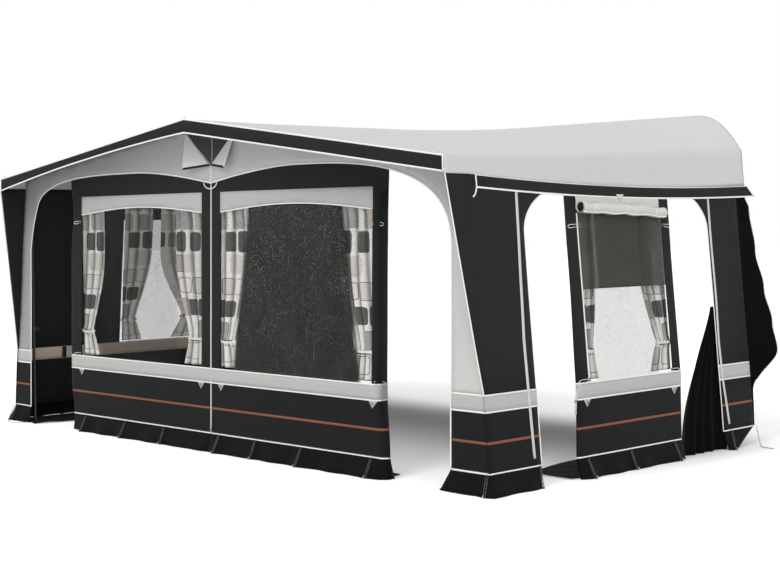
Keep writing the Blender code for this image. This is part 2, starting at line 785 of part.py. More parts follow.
def side_panels():
    """Middle window panel of each side: free of its doors on the right, zipped shut on the left."""
    header = DOOR_ARCH_SPRING + DOOR_ARCH_HEIGHT - PANEL_TUCK
    top = HEADER_TOP - PANEL_TUCK
    shift = SIDE_PANEL_FOOT_SHIFT
    outline = [
        (SIDE_PANEL_FRONT - shift, HEM_HEIGHT), (SIDE_PANEL_REAR - shift, HEM_HEIGHT),
        (SIDE_PANEL_REAR, BAND_TOP), (SIDE_PANEL_REAR, header), (SIDE_PANEL_REAR, top),
        (SIDE_PANEL_FRONT, top), (SIDE_PANEL_FRONT, BAND_TOP),
    ]
    flat_panel("side_panel_right", SIDE, outline, black_cloth(), [side_window_hole()], INNER_LAYER)
    shut = [
        (DOOR_FRONT - PANEL_TUCK, HEM_HEIGHT), (DOOR_REAR + PANEL_TUCK, HEM_HEIGHT),
        (DOOR_REAR + PANEL_TUCK, top), (DOOR_FRONT - PANEL_TUCK, top),
    ]
    left = flat_panel("left_template", SIDE, shut, black_cloth(), [side_window_hole()], INNER_LAYER)
    mirrored(left, "side_panel_left")
    bpy.data.objects.remove(left, do_unlink=True)
    clear = flat_panel(
        "side_film_right", SIDE, side_window_hole(GAP), clear_film(), (), INNER_LAYER, FILM
    )
    mirrored(clear, "side_film_left")


def side_mesh_screen():
    """Dark fly screen behind the upper half of the right side window."""
    lap = PANEL_TUCK / 2
    outline = [
        (SIDE_WINDOW_FRONT - lap, SCREEN_BOTTOM), (SIDE_WINDOW_REAR + lap, SCREEN_BOTTOM),
        (SIDE_WINDOW_REAR + lap, SIDE_CURTAIN_TOP), (SIDE_WINDOW_FRONT - lap, SIDE_CURTAIN_TOP),
    ]
    layer = INNER_LAYER - CLOTH / 2 - GAP - FILM / 2
    flat_panel("side_mesh_screen", SIDE, outline, dark_mesh(), (), layer, FILM)


def side_curtains():
    """Two curtains behind the screen; the front one is pushed into a narrow stack."""
    for name, edge, direction, share in (
        ("side_curtain_front", SIDE_WINDOW_FRONT, 1, 0.45),
        ("side_curtain_rear", SIDE_WINDOW_REAR, -1, 1.0),
    ):
        made = curtain(
            name, SIDE, edge + direction * CURTAIN_EDGE_INSET, direction, CURTAIN_WIDTH * share, 0.3,
            SIDE_CURTAIN_TOP,
        )
        frame, _ = SIDE
        made.location = frame.to_3x3() @ Vector((0, 0, -FILM - GAP))


def side_blind():
    """Outer blind, rolled up: a flat tab on the panel, then its turns, seen from the end as a coil."""
    turns, pitch = BLIND_TURNS, BLIND_PITCH
    seat = INNER_LAYER + CLOTH + GAP
    centre_height = BLIND_TOP - BLIND_RADIUS * 2
    centre_out = seat + BLIND_RADIUS
    tab_share = 0.12

    def section(share):
        if share < tab_share:
            return seat, BLIND_TOP + (centre_height - BLIND_TOP) * share / tab_share
        wound = (share - tab_share) / (1 - tab_share)
        angle = 2 * math.pi * turns * wound
        radius = BLIND_RADIUS - pitch * turns * wound
        return centre_out - radius * math.cos(angle), centre_height - radius * math.sin(angle)

    def point(across, along):
        out, height = section(along)
        start, end = SIDE_WINDOW_FRONT - BLIND_OVERLAP, SIDE_WINDOW_REAR + BLIND_OVERLAP
        return on_wall(SIDE, start + (end - start) * across, height, out)

    cloth_sheet("side_blind", 2, 36, point, grey_cloth())


def door_drape():
    """Rear door panel, unzipped from the front and hanging in folds from the opening's rear edge."""
    folds, top_spread_share, spread_bend = 4, 0.08, 1.2
    flat_share, folded_share, least_fold_share = 0.02, 0.12, 0.3

    def point(across, along):
        height = DRAPE_TOP + (GROUND_CLEARANCE + CLOTH - DRAPE_TOP) * along
        spread = math.sin(math.pi / 2 * along) ** spread_bend
        spread_share = top_spread_share + (1 - top_spread_share) * spread
        distance = DOOR_REAR + PANEL_TUCK - DRAPE_FOOT * spread_share * across
        wave = (1 - math.cos(2 * math.pi * folds * across)) / 2
        fold = least_fold_share + (1 - least_fold_share) * wave
        hang = CURTAIN_FOLD_DEPTH * ease(across, flat_share, folded_share) * (1 + along)
        return on_wall(SIDE, distance, height, INNER_LAYER - hang * fold)

    cloth_sheet("door_drape_right", 24, 7, point, skirt_cloth())


# Skirts with their rubber ladders and pegs


def ladder_with_peg(name, wall, along):
    """Rubber ladder from the hem to the ground, and the steel peg hooked through its last rung."""
    top = HEM_HEIGHT - CLOTH
    run = LADDER_REACH
    length = math.hypot(run, top - PEG_RADIUS * 2)
    frame, _ = wall
    start = on_wall(wall, along, top, 0)
    end = on_wall(wall, along, PEG_RADIUS * 2, run)
    up = (start - end).normalized()
    across = frame.to_3x3() @ Vector((1, 0, 0))
    out = across.cross(up)
    curve = bpy.data.curves.new(name, "CURVE")
    curve.dimensions = "2D"
    curve.fill_mode = "BOTH"
    curve.extrude = LADDER_THICKNESS / 2
    half, hole_half = LADDER_WIDTH / 2, LADDER_WIDTH / 2 - LADDER_RAIL
    loops = [[(-half, 0), (half, 0), (half, length), (-half, length)]]
    pitch = (length - LADDER_RUNG) / LADDER_STEPS
    for step in range(LADDER_STEPS):
        low = LADDER_RUNG / 2 + pitch * step
        high = low + pitch - LADDER_RUNG / 2
        loops.append([(-hole_half, low), (hole_half, low), (hole_half, high), (-hole_half, high)])
    for loop in loops:
        spline = curve.splines.new("POLY")
        spline.points.add(len(loop) - 1)
        for point, (x, y) in zip(spline.points, loop):
            point.co = (x, y, 0, 1)
        spline.use_cyclic_u = True
    ladder = place(bpy.data.objects.new(name + "_ladder", curve), plastic())
    ladder.matrix_world = Matrix.Translation(end) @ Matrix((across, up, out)).transposed().to_4x4()
    away = Vector((out.x, out.y, 0)).normalized()
    low = Vector((end.x, end.y, PEG_RADIUS + GROUND_CLEARANCE / 4))
    lift = Vector((0, 0, PEG_HOOK))
    points = [
        low - away * PEG_OVERLAP + lift, low - away * PEG_OVERLAP, low + away * PEG_SHAFT,
        low + away * (PEG_SHAFT + PEG_HOOK / 2) + lift / 2,
    ]
    peg = rod(name + "_peg", points, PEG_RADIUS, steel(), sides=0)
    return as_mesh(ladder), as_mesh(peg)


def skirt(name, path, finish, ladders, columns):
    """Mud skirt under the hem: path gives a point and the way out for a share of its length."""
    top = HEM_HEIGHT - GAP * 2
    splay_bend = 1.4

    def point(across, along):
        base, out, length = path(across)
        height = top + (GROUND_CLEARANCE + CLOTH - top) * along
        ripple = SKIRT_RIPPLE * math.sin(2 * math.pi * across * length / RIPPLE_LENGTH) * along
        lean = base(height)
        return lean + out * (SKIRT_SPLAY * along**splay_bend + ripple)

    made = cloth_sheet(name, columns, 2, point, finish)
    for number, (wall, along) in enumerate(ladders):
        for tool in ladder_with_peg(f"{name}_{number}", wall, along):
            combine(made, tool, "UNION")
    return made


def straight_path(wall, start, end, layer=0.0):
    frame, _ = wall
    out = frame.to_3x3() @ Vector((0, 0, 1))
    flat = Vector((out.x, out.y, 0)).normalized()

    def path(across):
        along = start + (end - start) * across
        return (lambda height: on_wall(wall, along, height, layer)), flat, abs(end - start)

    return path


def corner_path():
    """Round the front corner: from the leg's inner edge to the corner, then along the side."""
    leg = HALF_BASE - LEG_INNER
    length = leg + DOOR_FRONT
    turn_start_share, turn_end_share = 0.8, 1.2

    def path(across):
        run = across * length
        turn_share = ease(run, leg * turn_start_share, leg * turn_end_share)
        out = Vector((math.sin(math.pi / 2 * turn_share), -math.cos(math.pi / 2 * turn_share), 0))

        def base(height):
            if run <= leg:
                corner = side_offset(height)
                along = LEG_INNER + (corner - LEG_INNER) * run / leg
                return on_wall(FRONT, along, height)
            return on_wall(SIDE, run - leg, height)

        return base, out, length

    return path


def skirts():
    cloth = skirt_cloth()
    right_shares = (0.053, 0.277, 0.543, 0.915)
    skirt(
        "front_skirt_right", straight_path(FRONT, GAP, PANEL_HALF_SPAN, INNER_LAYER), cloth,
        [(FRONT, PANEL_HALF_SPAN * share) for share in right_shares], 12,
    )
    left_shares = (0.309, 0.585, 0.883)
    skirt(
        "front_skirt_left", straight_path(FRONT, -PANEL_HALF_SPAN, -GAP, INNER_LAYER), cloth,
        [(FRONT, -PANEL_HALF_SPAN * share) for share in left_shares], 12,
    )
    corner = skirt(
        "corner_skirt_right", corner_path(), cloth,
        [(SIDE, LADDER_INSET), (SIDE, DOOR_FRONT - LADDER_INSET)], 14,
    )
    mirrored(corner, "corner_skirt_left")
    shift = SIDE_PANEL_FOOT_SHIFT
    start, end = SIDE_PANEL_FRONT - shift, SIDE_PANEL_REAR - shift
    side_shares = (0.08, 0.48, 0.92)
    skirt(
        "side_skirt_right", straight_path(SIDE, start, end, INNER_LAYER), cloth,
        [(SIDE, start + (end - start) * share) for share in side_shares], 8,
    )
    skirt(
        "rear_skirt_right", straight_path(SIDE, DOOR_REAR, WALL_END), cloth,
        [(SIDE, (DOOR_REAR + WALL_END) / 2)], 5,
    )
    long_shares = (0.15, 0.5, 0.85)
    long_side = skirt(
        "left_template", straight_path(SIDE, DOOR_FRONT + CLOTH, WALL_END), cloth,
        [(SIDE, DOOR_FRONT + (WALL_END - DOOR_FRONT) * share) for share in long_shares], 14,
    )
    mirrored(long_side, "side_skirt_left")
    bpy.data.objects.remove(long_side, do_unlink=True)


# Steel frame


def roof_pole_offsets():
    return (-CORNER_POLE_OFFSET, 0.0, CORNER_POLE_OFFSET)


SIDE_NAMES = ("left", "centre", "right")


def pole_rise_share(offset, rise):
    """The most of the roof's rise that a straight pole can take below its late bend, less a margin."""
    margin_share = 0.85
    if rise <= 0:
        return 1 / margin_share
    room = (ROOF_POLE_DROP - POLE_RADIUS - CLOTH) / rise
    bend = roof_bend(offset)
    most = (room * bend ** (bend / (bend - 1)) / (bend - 1)) ** ((bend - 1) / bend)
    return min(most * margin_share, 1)


def pole_line(offset):
    """Axis of a roof pole: its height at the front, and its rise for each metre back."""
    low = roof_height(offset, -CANOPY_REACH)
    rise = roof_height(offset, TAIL_END) - low
    slope = rise * pole_rise_share(offset, rise) / (TAIL_END + CANOPY_REACH)
    return low - ROOF_POLE_DROP, slope


def pole_point(offset, distance):
    front, slope = pole_line(offset)
    return Vector((offset, distance - POLE_SETBACK, front + slope * (distance + CANOPY_REACH)))


def pin_tip(offset):
    low = pole_point(offset, -CANOPY_REACH + PIN_SET_BACK)
    return Vector((low.x, low.y, roof_height(offset, -CANOPY_REACH) + PIN_RISE))


def roof_poles():
    for side, offset in zip(SIDE_NAMES, roof_pole_offsets()):
        end_room = PIN_RADIUS * 2
        start = pole_point(offset, -CANOPY_REACH + PIN_SET_BACK - end_room + PIN_RADIUS)
        pole = tube(f"roof_pole_{side}", start, pole_point(offset, ROOF_POLE_END), POLE_RADIUS)
        tip = pin_tip(offset)
        low = pole_point(offset, -CANOPY_REACH + PIN_SET_BACK)
        pin = cylinder(
            f"pin_{side}", PIN_RADIUS, low - Vector((0, 0, POLE_RADIUS)), tip, steel(), sides=12
        )
        combine(pole, pin, "UNION")
        tail_start = pole_point(offset, ROOF_POLE_END - TAIL_INSERT)
        tail_end = pole_point(offset, TAIL_END - PIN_RADIUS * 3)
        tail = tube(f"roof_pole_tail_{side}", tail_start, tail_end, LEG_RADIUS)
        hook_low = pole_point(offset, TAIL_END - PIN_RADIUS * 4)
        hook_out = pole_point(offset, TAIL_END - PIN_RADIUS)
        below = Vector((0, 0, LEG_RADIUS - PIN_RADIUS))
        hook = rod(
            f"hook_{side}",
            [hook_low - below, hook_out - below, hook_out - Vector((0, 0, HOOK_HEIGHT))],
            PIN_RADIUS, steel(),
        )
        combine(tail, as_mesh(hook), "UNION")


def clamp_height():
    return SLEEVE_BOTTOM + COLLAR_HEIGHT / 2


def front_uprights():
    """Two telescoping tubes, a clamp collar with its knob, and a plastic foot, at each front corner."""
    for side, offset in zip(SIDE_NAMES, roof_pole_offsets()):
        pole_under = pole_point(offset, POLE_SETBACK).z - POLE_RADIUS
        top = pole_under - GAP * 3
        bore = POLE_RADIUS - TUBE_WALL
        profile = [
            (POLE_RADIUS, top), (POLE_RADIUS, SLEEVE_BOTTOM + COLLAR_HEIGHT + CLOTH),
            (COLLAR_RADIUS, SLEEVE_BOTTOM + COLLAR_HEIGHT), (COLLAR_RADIUS, SLEEVE_BOTTOM),
            (bore, SLEEVE_BOTTOM), (bore, top),
        ]
        sleeve = turned(f"upright_sleeve_{side}", profile, steel())
        sleeve.location = (offset, 0, 0)
        height = clamp_height()
        boss = cylinder(
            f"boss_{side}", BOSS_RADIUS, (offset, POLE_RADIUS, height), (offset, BOSS_REACH, height), steel()
        )
        combine(sleeve, boss, "UNION")
        drill = cylinder(
            f"drill_{side}", STUD_RADIUS + SLIDE_CLEARANCE, (offset, LEG_RADIUS - CLOTH, height),
            (offset, BOSS_REACH * 2, height), steel(),
        )
        combine(sleeve, drill, "DIFFERENCE")
        upright_leg(side, offset)
        clamp_knob(side, offset)


def upright_leg(side, offset):
    start = Vector((offset, 0, FOOT_PLATE + GAP))
    tube(f"upright_leg_{side}", start, Vector((offset, 0, LEG_TOP)), LEG_RADIUS)
    foot(f"foot_plate_{side}", (offset, 0, 0))


def foot(name, centre):
    bore = LEG_RADIUS + SLIDE_CLEARANCE
    taper_share = 0.9
    profile = [
        (bore, FOOT_SOCKET_HEIGHT), (FOOT_SOCKET_RADIUS, FOOT_SOCKET_HEIGHT),
        (FOOT_SOCKET_RADIUS, FOOT_PLATE * 2), (FOOT_RADIUS * taper_share, FOOT_PLATE),
        (FOOT_RADIUS, FOOT_PLATE / 2),
        (FOOT_RADIUS, 0), (0, 0),
    ]
    profile = [(0, FOOT_PLATE), (bore, FOOT_PLATE)] + profile
    made = turned(name, profile, plastic(), steps=20)
    made.location = centre
    return made


def clamp_knob(side, offset):
    """Star knob on a threaded stud that presses on the inner tube."""
    height = clamp_height()
    name = f"clamp_knob_{side}"
    shape = bmesh.new()
    points_per_lobe = 4
    count = KNOB_LOBES * points_per_lobe
    ring = []
    for step in range(count):
        angle = 2 * math.pi * step / count
        radius = KNOB_RADIUS * (1 - KNOB_LOBE_SHARE * (0.5 - 0.5 * math.cos(KNOB_LOBES * angle)))
        ring.append(shape.verts.new((radius * math.cos(angle), radius * math.sin(angle), 0)))
    face = shape.faces.new(ring)
    grown = bmesh.ops.extrude_face_region(shape, geom=[face])
    moved = [item for item in grown["geom"] if isinstance(item, bmesh.types.BMVert)]
    bmesh.ops.translate(shape, verts=moved, vec=(0, 0, KNOB_THICKNESS))
    bmesh.ops.recalc_face_normals(shape, faces=shape.faces)
    mesh = bpy.data.meshes.new(name)
    shape.to_mesh(mesh)
    shape.free()
    knob = place(bpy.data.objects.new(name, mesh), plastic())
    face_out = BOSS_REACH + GAP
    aim(knob, (offset, face_out, height), (offset, face_out + KNOB_THICKNESS, height))
    stud = cylinder(
        f"stud_{side}", STUD_RADIUS, (offset, LEG_RADIUS + GAP, height),
        (offset, face_out + KNOB_THICKNESS / 2, height), steel(),
    )
    combine(knob, stud, "UNION")


def eave_poles():
    """Front rails from the centre upright down to each corner upright."""
    clear = POLE_RADIUS + LEG_RADIUS * ROOF_PITCH + GAP
    below = ROOF_POLE_DROP + POLE_RADIUS * 2 + CLOTH
    inner, outer = clear, CORNER_POLE_OFFSET - clear
    start = Vector((inner, 0, roof_height(inner, POLE_SETBACK) - below))
    end = Vector((outer, 0, roof_height(outer, POLE_SETBACK) - below))
    right = tube("eave_pole_right", start, end, LEG_RADIUS)
    mirrored(right, "eave_pole_left")


def rear_uprights():
    distance = REAR_UPRIGHT_DISTANCE
    top = pole_point(CORNER_POLE_OFFSET, distance).z - LEG_RADIUS - GAP * 3
    at = distance - POLE_SETBACK
    bore = LEG_RADIUS - TUBE_WALL
    profile = [
        (LEG_RADIUS, top), (LEG_RADIUS, FOOT_SOCKET_HEIGHT), (FOOT_SOCKET_RADIUS, FOOT_SOCKET_HEIGHT),
        (FOOT_SOCKET_RADIUS, FOOT_PLATE * 2), (FOOT_RADIUS, FOOT_PLATE), (FOOT_RADIUS, 0), (bore, 0),
        (bore, top),
    ]
    right = turned("rear_upright_right", profile, steel())
    right.location = (CORNER_POLE_OFFSET, at, 0)
    mirrored(right, "rear_upright_left")


def front_zip_slider():
    """Slider and pull of the centre zip, at the bottom, where the zip is shut."""
    height = HEM_HEIGHT + SLIDER_LENGTH
    face = INNER_LAYER + CLOTH / 2 + GAP
    body = block("front_zip_slider", (SLIDER_WIDTH, SLIDER_LENGTH, SLIDER_THICKNESS), (0, 0, 0), steel())
    frame, stretch = FRONT
    centre = Matrix.Translation((0, height * stretch, face + SLIDER_THICKNESS / 2))
    body.matrix_world = frame @ centre
    pull = block(
        "zip_pull", (SLIDER_WIDTH / 2, PULL_LENGTH, PULL_THICKNESS),
        (0, 0, 0), steel(),
    )
    pull.matrix_world = frame @ centre @ Matrix.Translation(
        (0, PULL_LENGTH / 2 - SLIDER_LENGTH / 4, SLIDER_THICKNESS / 2)
    )
    combine(body, pull, "UNION")


roof_canopy()
front_fascia()
side_valance()
rail_bead()
front_gable()
gable_vent_flap()
front_panel()
front_curtains()
side_wall()
rear_return()
side_panels()
side_mesh_screen()
side_curtains()
side_blind()
door_drape()
skirts()
roof_poles()
front_uprights()
eave_poles()
rear_uprights()
front_zip_slider()
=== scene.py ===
import math

import bmesh
import bpy
import numpy as np
from mathutils import Matrix, Vector, geometry, noise


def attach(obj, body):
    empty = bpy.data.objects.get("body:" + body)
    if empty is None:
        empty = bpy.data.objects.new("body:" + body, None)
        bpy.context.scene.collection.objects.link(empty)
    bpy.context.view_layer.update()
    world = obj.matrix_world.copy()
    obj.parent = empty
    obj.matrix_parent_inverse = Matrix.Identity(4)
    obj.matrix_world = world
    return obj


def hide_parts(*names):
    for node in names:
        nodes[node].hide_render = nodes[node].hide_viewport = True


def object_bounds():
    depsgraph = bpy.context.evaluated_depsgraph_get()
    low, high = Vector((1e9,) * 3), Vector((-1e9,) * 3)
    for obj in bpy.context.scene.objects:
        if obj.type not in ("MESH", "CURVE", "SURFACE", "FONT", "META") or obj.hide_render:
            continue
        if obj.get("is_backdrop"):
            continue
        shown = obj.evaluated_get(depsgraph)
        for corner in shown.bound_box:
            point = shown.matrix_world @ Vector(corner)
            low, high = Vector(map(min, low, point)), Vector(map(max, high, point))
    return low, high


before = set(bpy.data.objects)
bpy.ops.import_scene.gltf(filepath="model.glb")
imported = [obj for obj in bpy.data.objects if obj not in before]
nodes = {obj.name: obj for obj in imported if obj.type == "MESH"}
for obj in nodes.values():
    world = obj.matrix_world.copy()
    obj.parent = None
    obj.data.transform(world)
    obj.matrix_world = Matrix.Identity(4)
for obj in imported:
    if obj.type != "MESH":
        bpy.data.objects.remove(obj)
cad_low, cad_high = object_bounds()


# View: the camera stands where the photographer stood, right of the awning's front corner.
# Its place and turn were fitted to the awning's own straight edges.
PICTURE_WIDTH = 780
FOCAL_PIXELS = 1475.38
SENSOR = 36.0
CAMERA_PLACE = Vector((8.7274, -6.8343, 1.6589))
CAMERA_YAW, CAMERA_PITCH, CAMERA_ROLL = 0.7884, -0.0437, -0.008


def link(name, data):
    made = bpy.data.objects.new(name, data)
    bpy.context.scene.collection.objects.link(made)
    return made


right = Vector((math.cos(CAMERA_YAW), math.sin(CAMERA_YAW), 0))
ahead = Vector((
    -math.sin(CAMERA_YAW) * math.cos(CAMERA_PITCH),
    math.cos(CAMERA_YAW) * math.cos(CAMERA_PITCH),
    math.sin(CAMERA_PITCH),
))
above = right.cross(ahead)
rolled_right = right * math.cos(CAMERA_ROLL) + above * math.sin(CAMERA_ROLL)
rolled_above = above * math.cos(CAMERA_ROLL) - right * math.sin(CAMERA_ROLL)
camera = link("camera", bpy.data.cameras.new("camera"))
camera.matrix_world = Matrix.Translation(CAMERA_PLACE) @ Matrix(
    (rolled_right, rolled_above, -ahead)
).transposed().to_4x4()
camera.data.sensor_width = SENSOR
camera.data.lens = FOCAL_PIXELS * SENSOR / PICTURE_WIDTH
camera.data.clip_end = 400
bpy.context.scene.camera = camera


# Surroundings: a pale floor with a painted shadow under the awning, and a bright even sky, with two broad
# lamps for soft shadows.
# The world shows white to the camera, to glossy surfaces and through clear film.
FLOOR_HALF = 90.0
FLOOR_DEPTH = 0.0005
FLOOR_ROUGHNESS = 0.9
FLOOR_TONES = (0.9, 0.5)
FLOOR_GLOW = 0.40
SHADE_DEEPEST = 0.98
SHADE_EDGES = (
    ("Y", 0.1, 2.5, 0.0, 1.0), ("Y", 2.6, 3.6, 1.0, 0.0),
    ("X", -3.3, -2.4, 0.0, 1.0), ("X", 2.4, 3.3, 1.0, 0.0),
)
BLACK = (0, 0, 0, 1)
WHITE = (1, 1, 1, 1)
SKY_COLOUR = (0.975, 0.97, 0.955, 1)
SKY_STRENGTH = 0.66
SKY_BEHIND = 0.12
SKY_TURNS = (0.15, 0.75)
LIGHTS = {
    "sun": (1.15, 0.5, (math.radians(40), 0, math.radians(4))),
    "fill": (1.15, 1.2, (0, math.radians(68), math.radians(-16))),
}


class Wire:
    """A shader socket that takes part in sums: each operator adds one Math node."""

    def __init__(self, tree, socket):
        self.tree, self.socket = tree, socket

    def maths(self, operation, *values):
        made = self.tree.nodes.new("ShaderNodeMath")
        made.operation = operation
        for place, value in zip(made.inputs, values):
            feed(self.tree, place, value)
        return Wire(self.tree, made.outputs[0])

    def __add__(self, other):
        return self.maths("ADD", self, other)

    def __sub__(self, other):
        return self.maths("SUBTRACT", self, other)

    def __rsub__(self, other):
        return self.maths("SUBTRACT", other, self)

    def __mul__(self, other):
        return self.maths("MULTIPLY", self, other)

    def __truediv__(self, other):
        return self.maths("DIVIDE", self, other)

    def __gt__(self, other):
        return self.maths("GREATER_THAN", self, other)

    def __lt__(self, other):
        return self.maths("LESS_THAN", self, other)

    def either(self, other):
        return self.maths("MAXIMUM", self, other)

    def abs(self):
        return self.maths("ABSOLUTE", self)

    def wave(self):
        return self.maths("SINE", self)

    def part(self):
        return self.maths("FRACT", self)

    def whole(self):
        return self.maths("FLOOR", self)

    __radd__, __rmul__ = __add__, __mul__


def feed(tree, place, value):
    if isinstance(value, Wire):
        tree.links.new(value.socket, place)
    elif value is not None:
        place.default_value = value


class Nodes:
    """A node tree: any node is added by name, and its sockets take values or other nodes' outputs."""

    def __init__(self, tree):
        self.tree = tree

    def node(self, kind, settings=None, values=None, output=0):
        made = self.tree.nodes.new(kind)
        for name, value in (settings or {}).items():
            if name == "stops":
                ramp = made.color_ramp
                while len(ramp.elements) < len(value):
                    ramp.elements.new(0.5)
                for element, (position, colour) in zip(ramp.elements, value):
                    element.position, element.color = position, colour
            else:
                setattr(made, name, value)
        for name, value in (values or {}).items():
            feed(self.tree, made.inputs[name], value)
        return Wire(self.tree, made.outputs[output])

    def axes(self, place):
        made = self.tree.nodes.new("ShaderNodeSeparateXYZ")
        feed(self.tree, made.inputs[0], place)
        return [Wire(self.tree, socket) for socket in made.outputs]

    def eased(self, value, near, far, at_near=0.0, at_far=1.0):
        """A soft change from one value to another, between two places."""
        return self.node("ShaderNodeMapRange", {"interpolation_type": "SMOOTHSTEP"}, {
            "Value": value, "From Min": near, "From Max": far, "To Min": at_near, "To Max": at_far,
        })


class Finish(Nodes):
    """One material, with its object and cloth coordinates at hand."""

    def __init__(self, name, roughness=0.6, metallic=0.0):
        self.material = bpy.data.materials.new(name)
        self.material.use_nodes = True
        super().__init__(self.material.node_tree)
        self.shader = self.tree.nodes["Principled BSDF"]
        self.shader.inputs["Roughness"].default_value = roughness
        self.shader.inputs["Metallic"].default_value = metallic
        self.place = self.node("ShaderNodeTexCoord", output="Object")
        self.flat = self.node("ShaderNodeTexCoord", output="UV")

    def noise(self, scale, detail=3.0, roughness=0.55, place=None, distortion=0.0):
        return self.node("ShaderNodeTexNoise", values={
            "Vector": place or self.place, "Scale": scale, "Detail": detail,
            "Roughness": roughness, "Distortion": distortion,
        })

    def ramp(self, factor, *stops):
        return self.node("ShaderNodeValToRGB", {"stops": stops}, {"Fac": factor})

    def mix(self, factor, first, second, blend="MIX"):
        return self.node("ShaderNodeMix", {"data_type": "RGBA", "blend_type": blend}, {
            "Factor": factor, 6: first, 7: second,
        }, 2)

    def stretched(self, scales, place=None):
        return self.node("ShaderNodeMapping", values={"Vector": place or self.place, "Scale": scales})

    def clamped(self, value):
        return self.node("ShaderNodeClamp", values={"Value": value})

    def set(self, title, value):
        feed(self.tree, self.shader.inputs[title], value)

    def bump(self, height, strength, distance):
        self.set("Normal", self.node("ShaderNodeBump", values={
            "Height": height, "Strength": strength, "Distance": distance,
        }))

    def colour(self, value):
        self.set("Base Color", value)

    def rough(self, value):
        self.set("Roughness", value)


# The floor's colour and its glow to the camera fade darker under the awning: painted shadow.
floor_paint = Finish("floor_paint", FLOOR_ROUGHNESS)
floor_axes = dict(zip("XYZ", floor_paint.axes(floor_paint.place)))
shade = SHADE_DEEPEST
for axis, *change in SHADE_EDGES:
    shade = floor_paint.eased(floor_axes[axis], *change) * shade
floor_paint.colour(floor_paint.node("ShaderNodeMapRange", values={
    "Value": shade, "To Min": FLOOR_TONES[0], "To Max": FLOOR_TONES[1],
}))
seen = floor_paint.node("ShaderNodeLightPath", output="Is Camera Ray")
floor_paint.set("Emission Color", WHITE)
floor_paint.set("Emission Strength", seen * ((1 - shade) * FLOOR_GLOW))
floor_mesh = bpy.data.meshes.new("floor")
floor_mesh.from_pydata(
    [(x * FLOOR_HALF, y * FLOOR_HALF, -FLOOR_DEPTH) for x, y in ((-1, -1), (1, -1), (1, 1), (-1, 1))],
    [], [(0, 1, 2, 3)],
)
floor_mesh.materials.append(floor_paint.material)
link("floor", floor_mesh)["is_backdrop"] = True

sky = bpy.data.worlds.new("sky")
bpy.context.scene.world = sky
sky.use_nodes = True
sky_nodes = Nodes(sky.node_tree)
_, sky_turn, _ = sky_nodes.axes(sky_nodes.node("ShaderNodeTexCoord", output="Generated"))
plain = sky_nodes.node("ShaderNodeBackground", values={
    "Color": SKY_COLOUR, "Strength": sky_nodes.eased(sky_turn, *SKY_TURNS, SKY_STRENGTH, SKY_BEHIND),
})
bright = sky_nodes.node("ShaderNodeBackground", values={"Color": WHITE})
by_camera, by_gloss, by_film = (
    sky_nodes.node("ShaderNodeLightPath", output=f"Is {kind} Ray")
    for kind in ("Camera", "Glossy", "Transmission")
)
both_skies = sky_nodes.node("ShaderNodeMixShader", values={
    0: by_camera.either(by_gloss).either(by_film), 1: plain, 2: bright,
})
feed(sky.node_tree, sky.node_tree.nodes["World Output"].inputs["Surface"], both_skies)
for name, (strength, angle, turn) in LIGHTS.items():
    lamp = link(name, bpy.data.lights.new(name, "SUN"))
    lamp.data.energy, lamp.data.angle = strength, angle
    lamp.rotation_euler = turn
bpy.context.scene.view_settings.view_transform = "Standard"


# Steel frame: zinc-plated telescoping tubes with clamps, drawn grain along them and dull spots.
# The tubes, collars and hooks keep their own shape, and only get their surface here.
STEEL_COLOUR = (0.52, 0.53, 0.55, 1)
STEEL_DULL = (0.36, 0.37, 0.39, 1)

steel = Finish("zinc_plated_steel", 0.35, 1.0)
drawn = steel.noise(1, 2.0, place=steel.stretched((900, 900, 12)))
spots = steel.noise(22, 4.0)
steel.colour(steel.mix(steel.ramp(spots, (0.45, BLACK), (0.7, WHITE)), STEEL_COLOUR, STEEL_DULL))
steel.rough(drawn * 0.18 + spots * 0.2 + 0.15)
steel.bump(drawn, 0.15, 0.0004)

moulded = Finish("moulded_black_plastic", 0.5)
moulded.colour((0.018, 0.018, 0.02, 1))
moulded.rough(moulded.noise(60, 3.0) * 0.2 + 0.4)
moulded.bump(moulded.noise(900, 2.0), 0.2, 0.0002)

# The uprights get a darker steel than the rest of the frame: painted shade for where they stand inside the
# awning.
upright_painted_shade = Finish("dark_coated_steel", 0.45, 0.2)
upright_painted_shade.colour(upright_painted_shade.mix(upright_painted_shade.noise(18, 3.0), (0.020, 0.020, 0.021, 1), (0.032, 0.032, 0.033, 1)))
upright_painted_shade.rough(upright_painted_shade.noise(40, 2.0) * 0.2 + 0.38)

for name, node in nodes.items():
    finish = None
    if name.startswith("upright_"):
        finish = upright_painted_shade
    elif name.startswith(("roof_pole", "eave_pole", "rear_upright")):
        finish = steel
    elif name.startswith(("foot_plate", "clamp_knob")):
        finish = moulded
    if finish:
        for place in node.material_slots:
            place.material = finish.material


# Cloth: woven polyester with a thin coating, cut flat and hung on the frame.
# Every cloth below is a fine mesh of its flat cut, bent into place, with the cut's own metres as UV.
HALF_BASE = 2.78
DEPTH = 3.15
POLE_SETBACK = 0.06
SIDE_LEAN = 0.092
FRONT_LEAN = 0.016
CLOTH = 0.0012
INNER_LAYER = -0.0023
MESH_STEP = 0.035
SEAM_STEP = 0.012
SLACK_DEPTH = 0.0045
PULL_DEPTH = 0.0028
RIPPLE_DEPTH = 0.0012
GREY_DYES = ((0.50, 0.50, 0.49, 1), (0.43, 0.43, 0.424, 1))
# The black cloth is darker below 0.55 m and lighter above 0.95 m.
BLACK_TONE_SLOPE = (2, 0.55, 0.95, 0.75, 1.3)
# The gable's tone ramp is painted shade: darker towards its left, lighter towards its right.
GABLE_PAINTED_SHADE = (0, -1.9, 0.8, 0.72, 1.25)


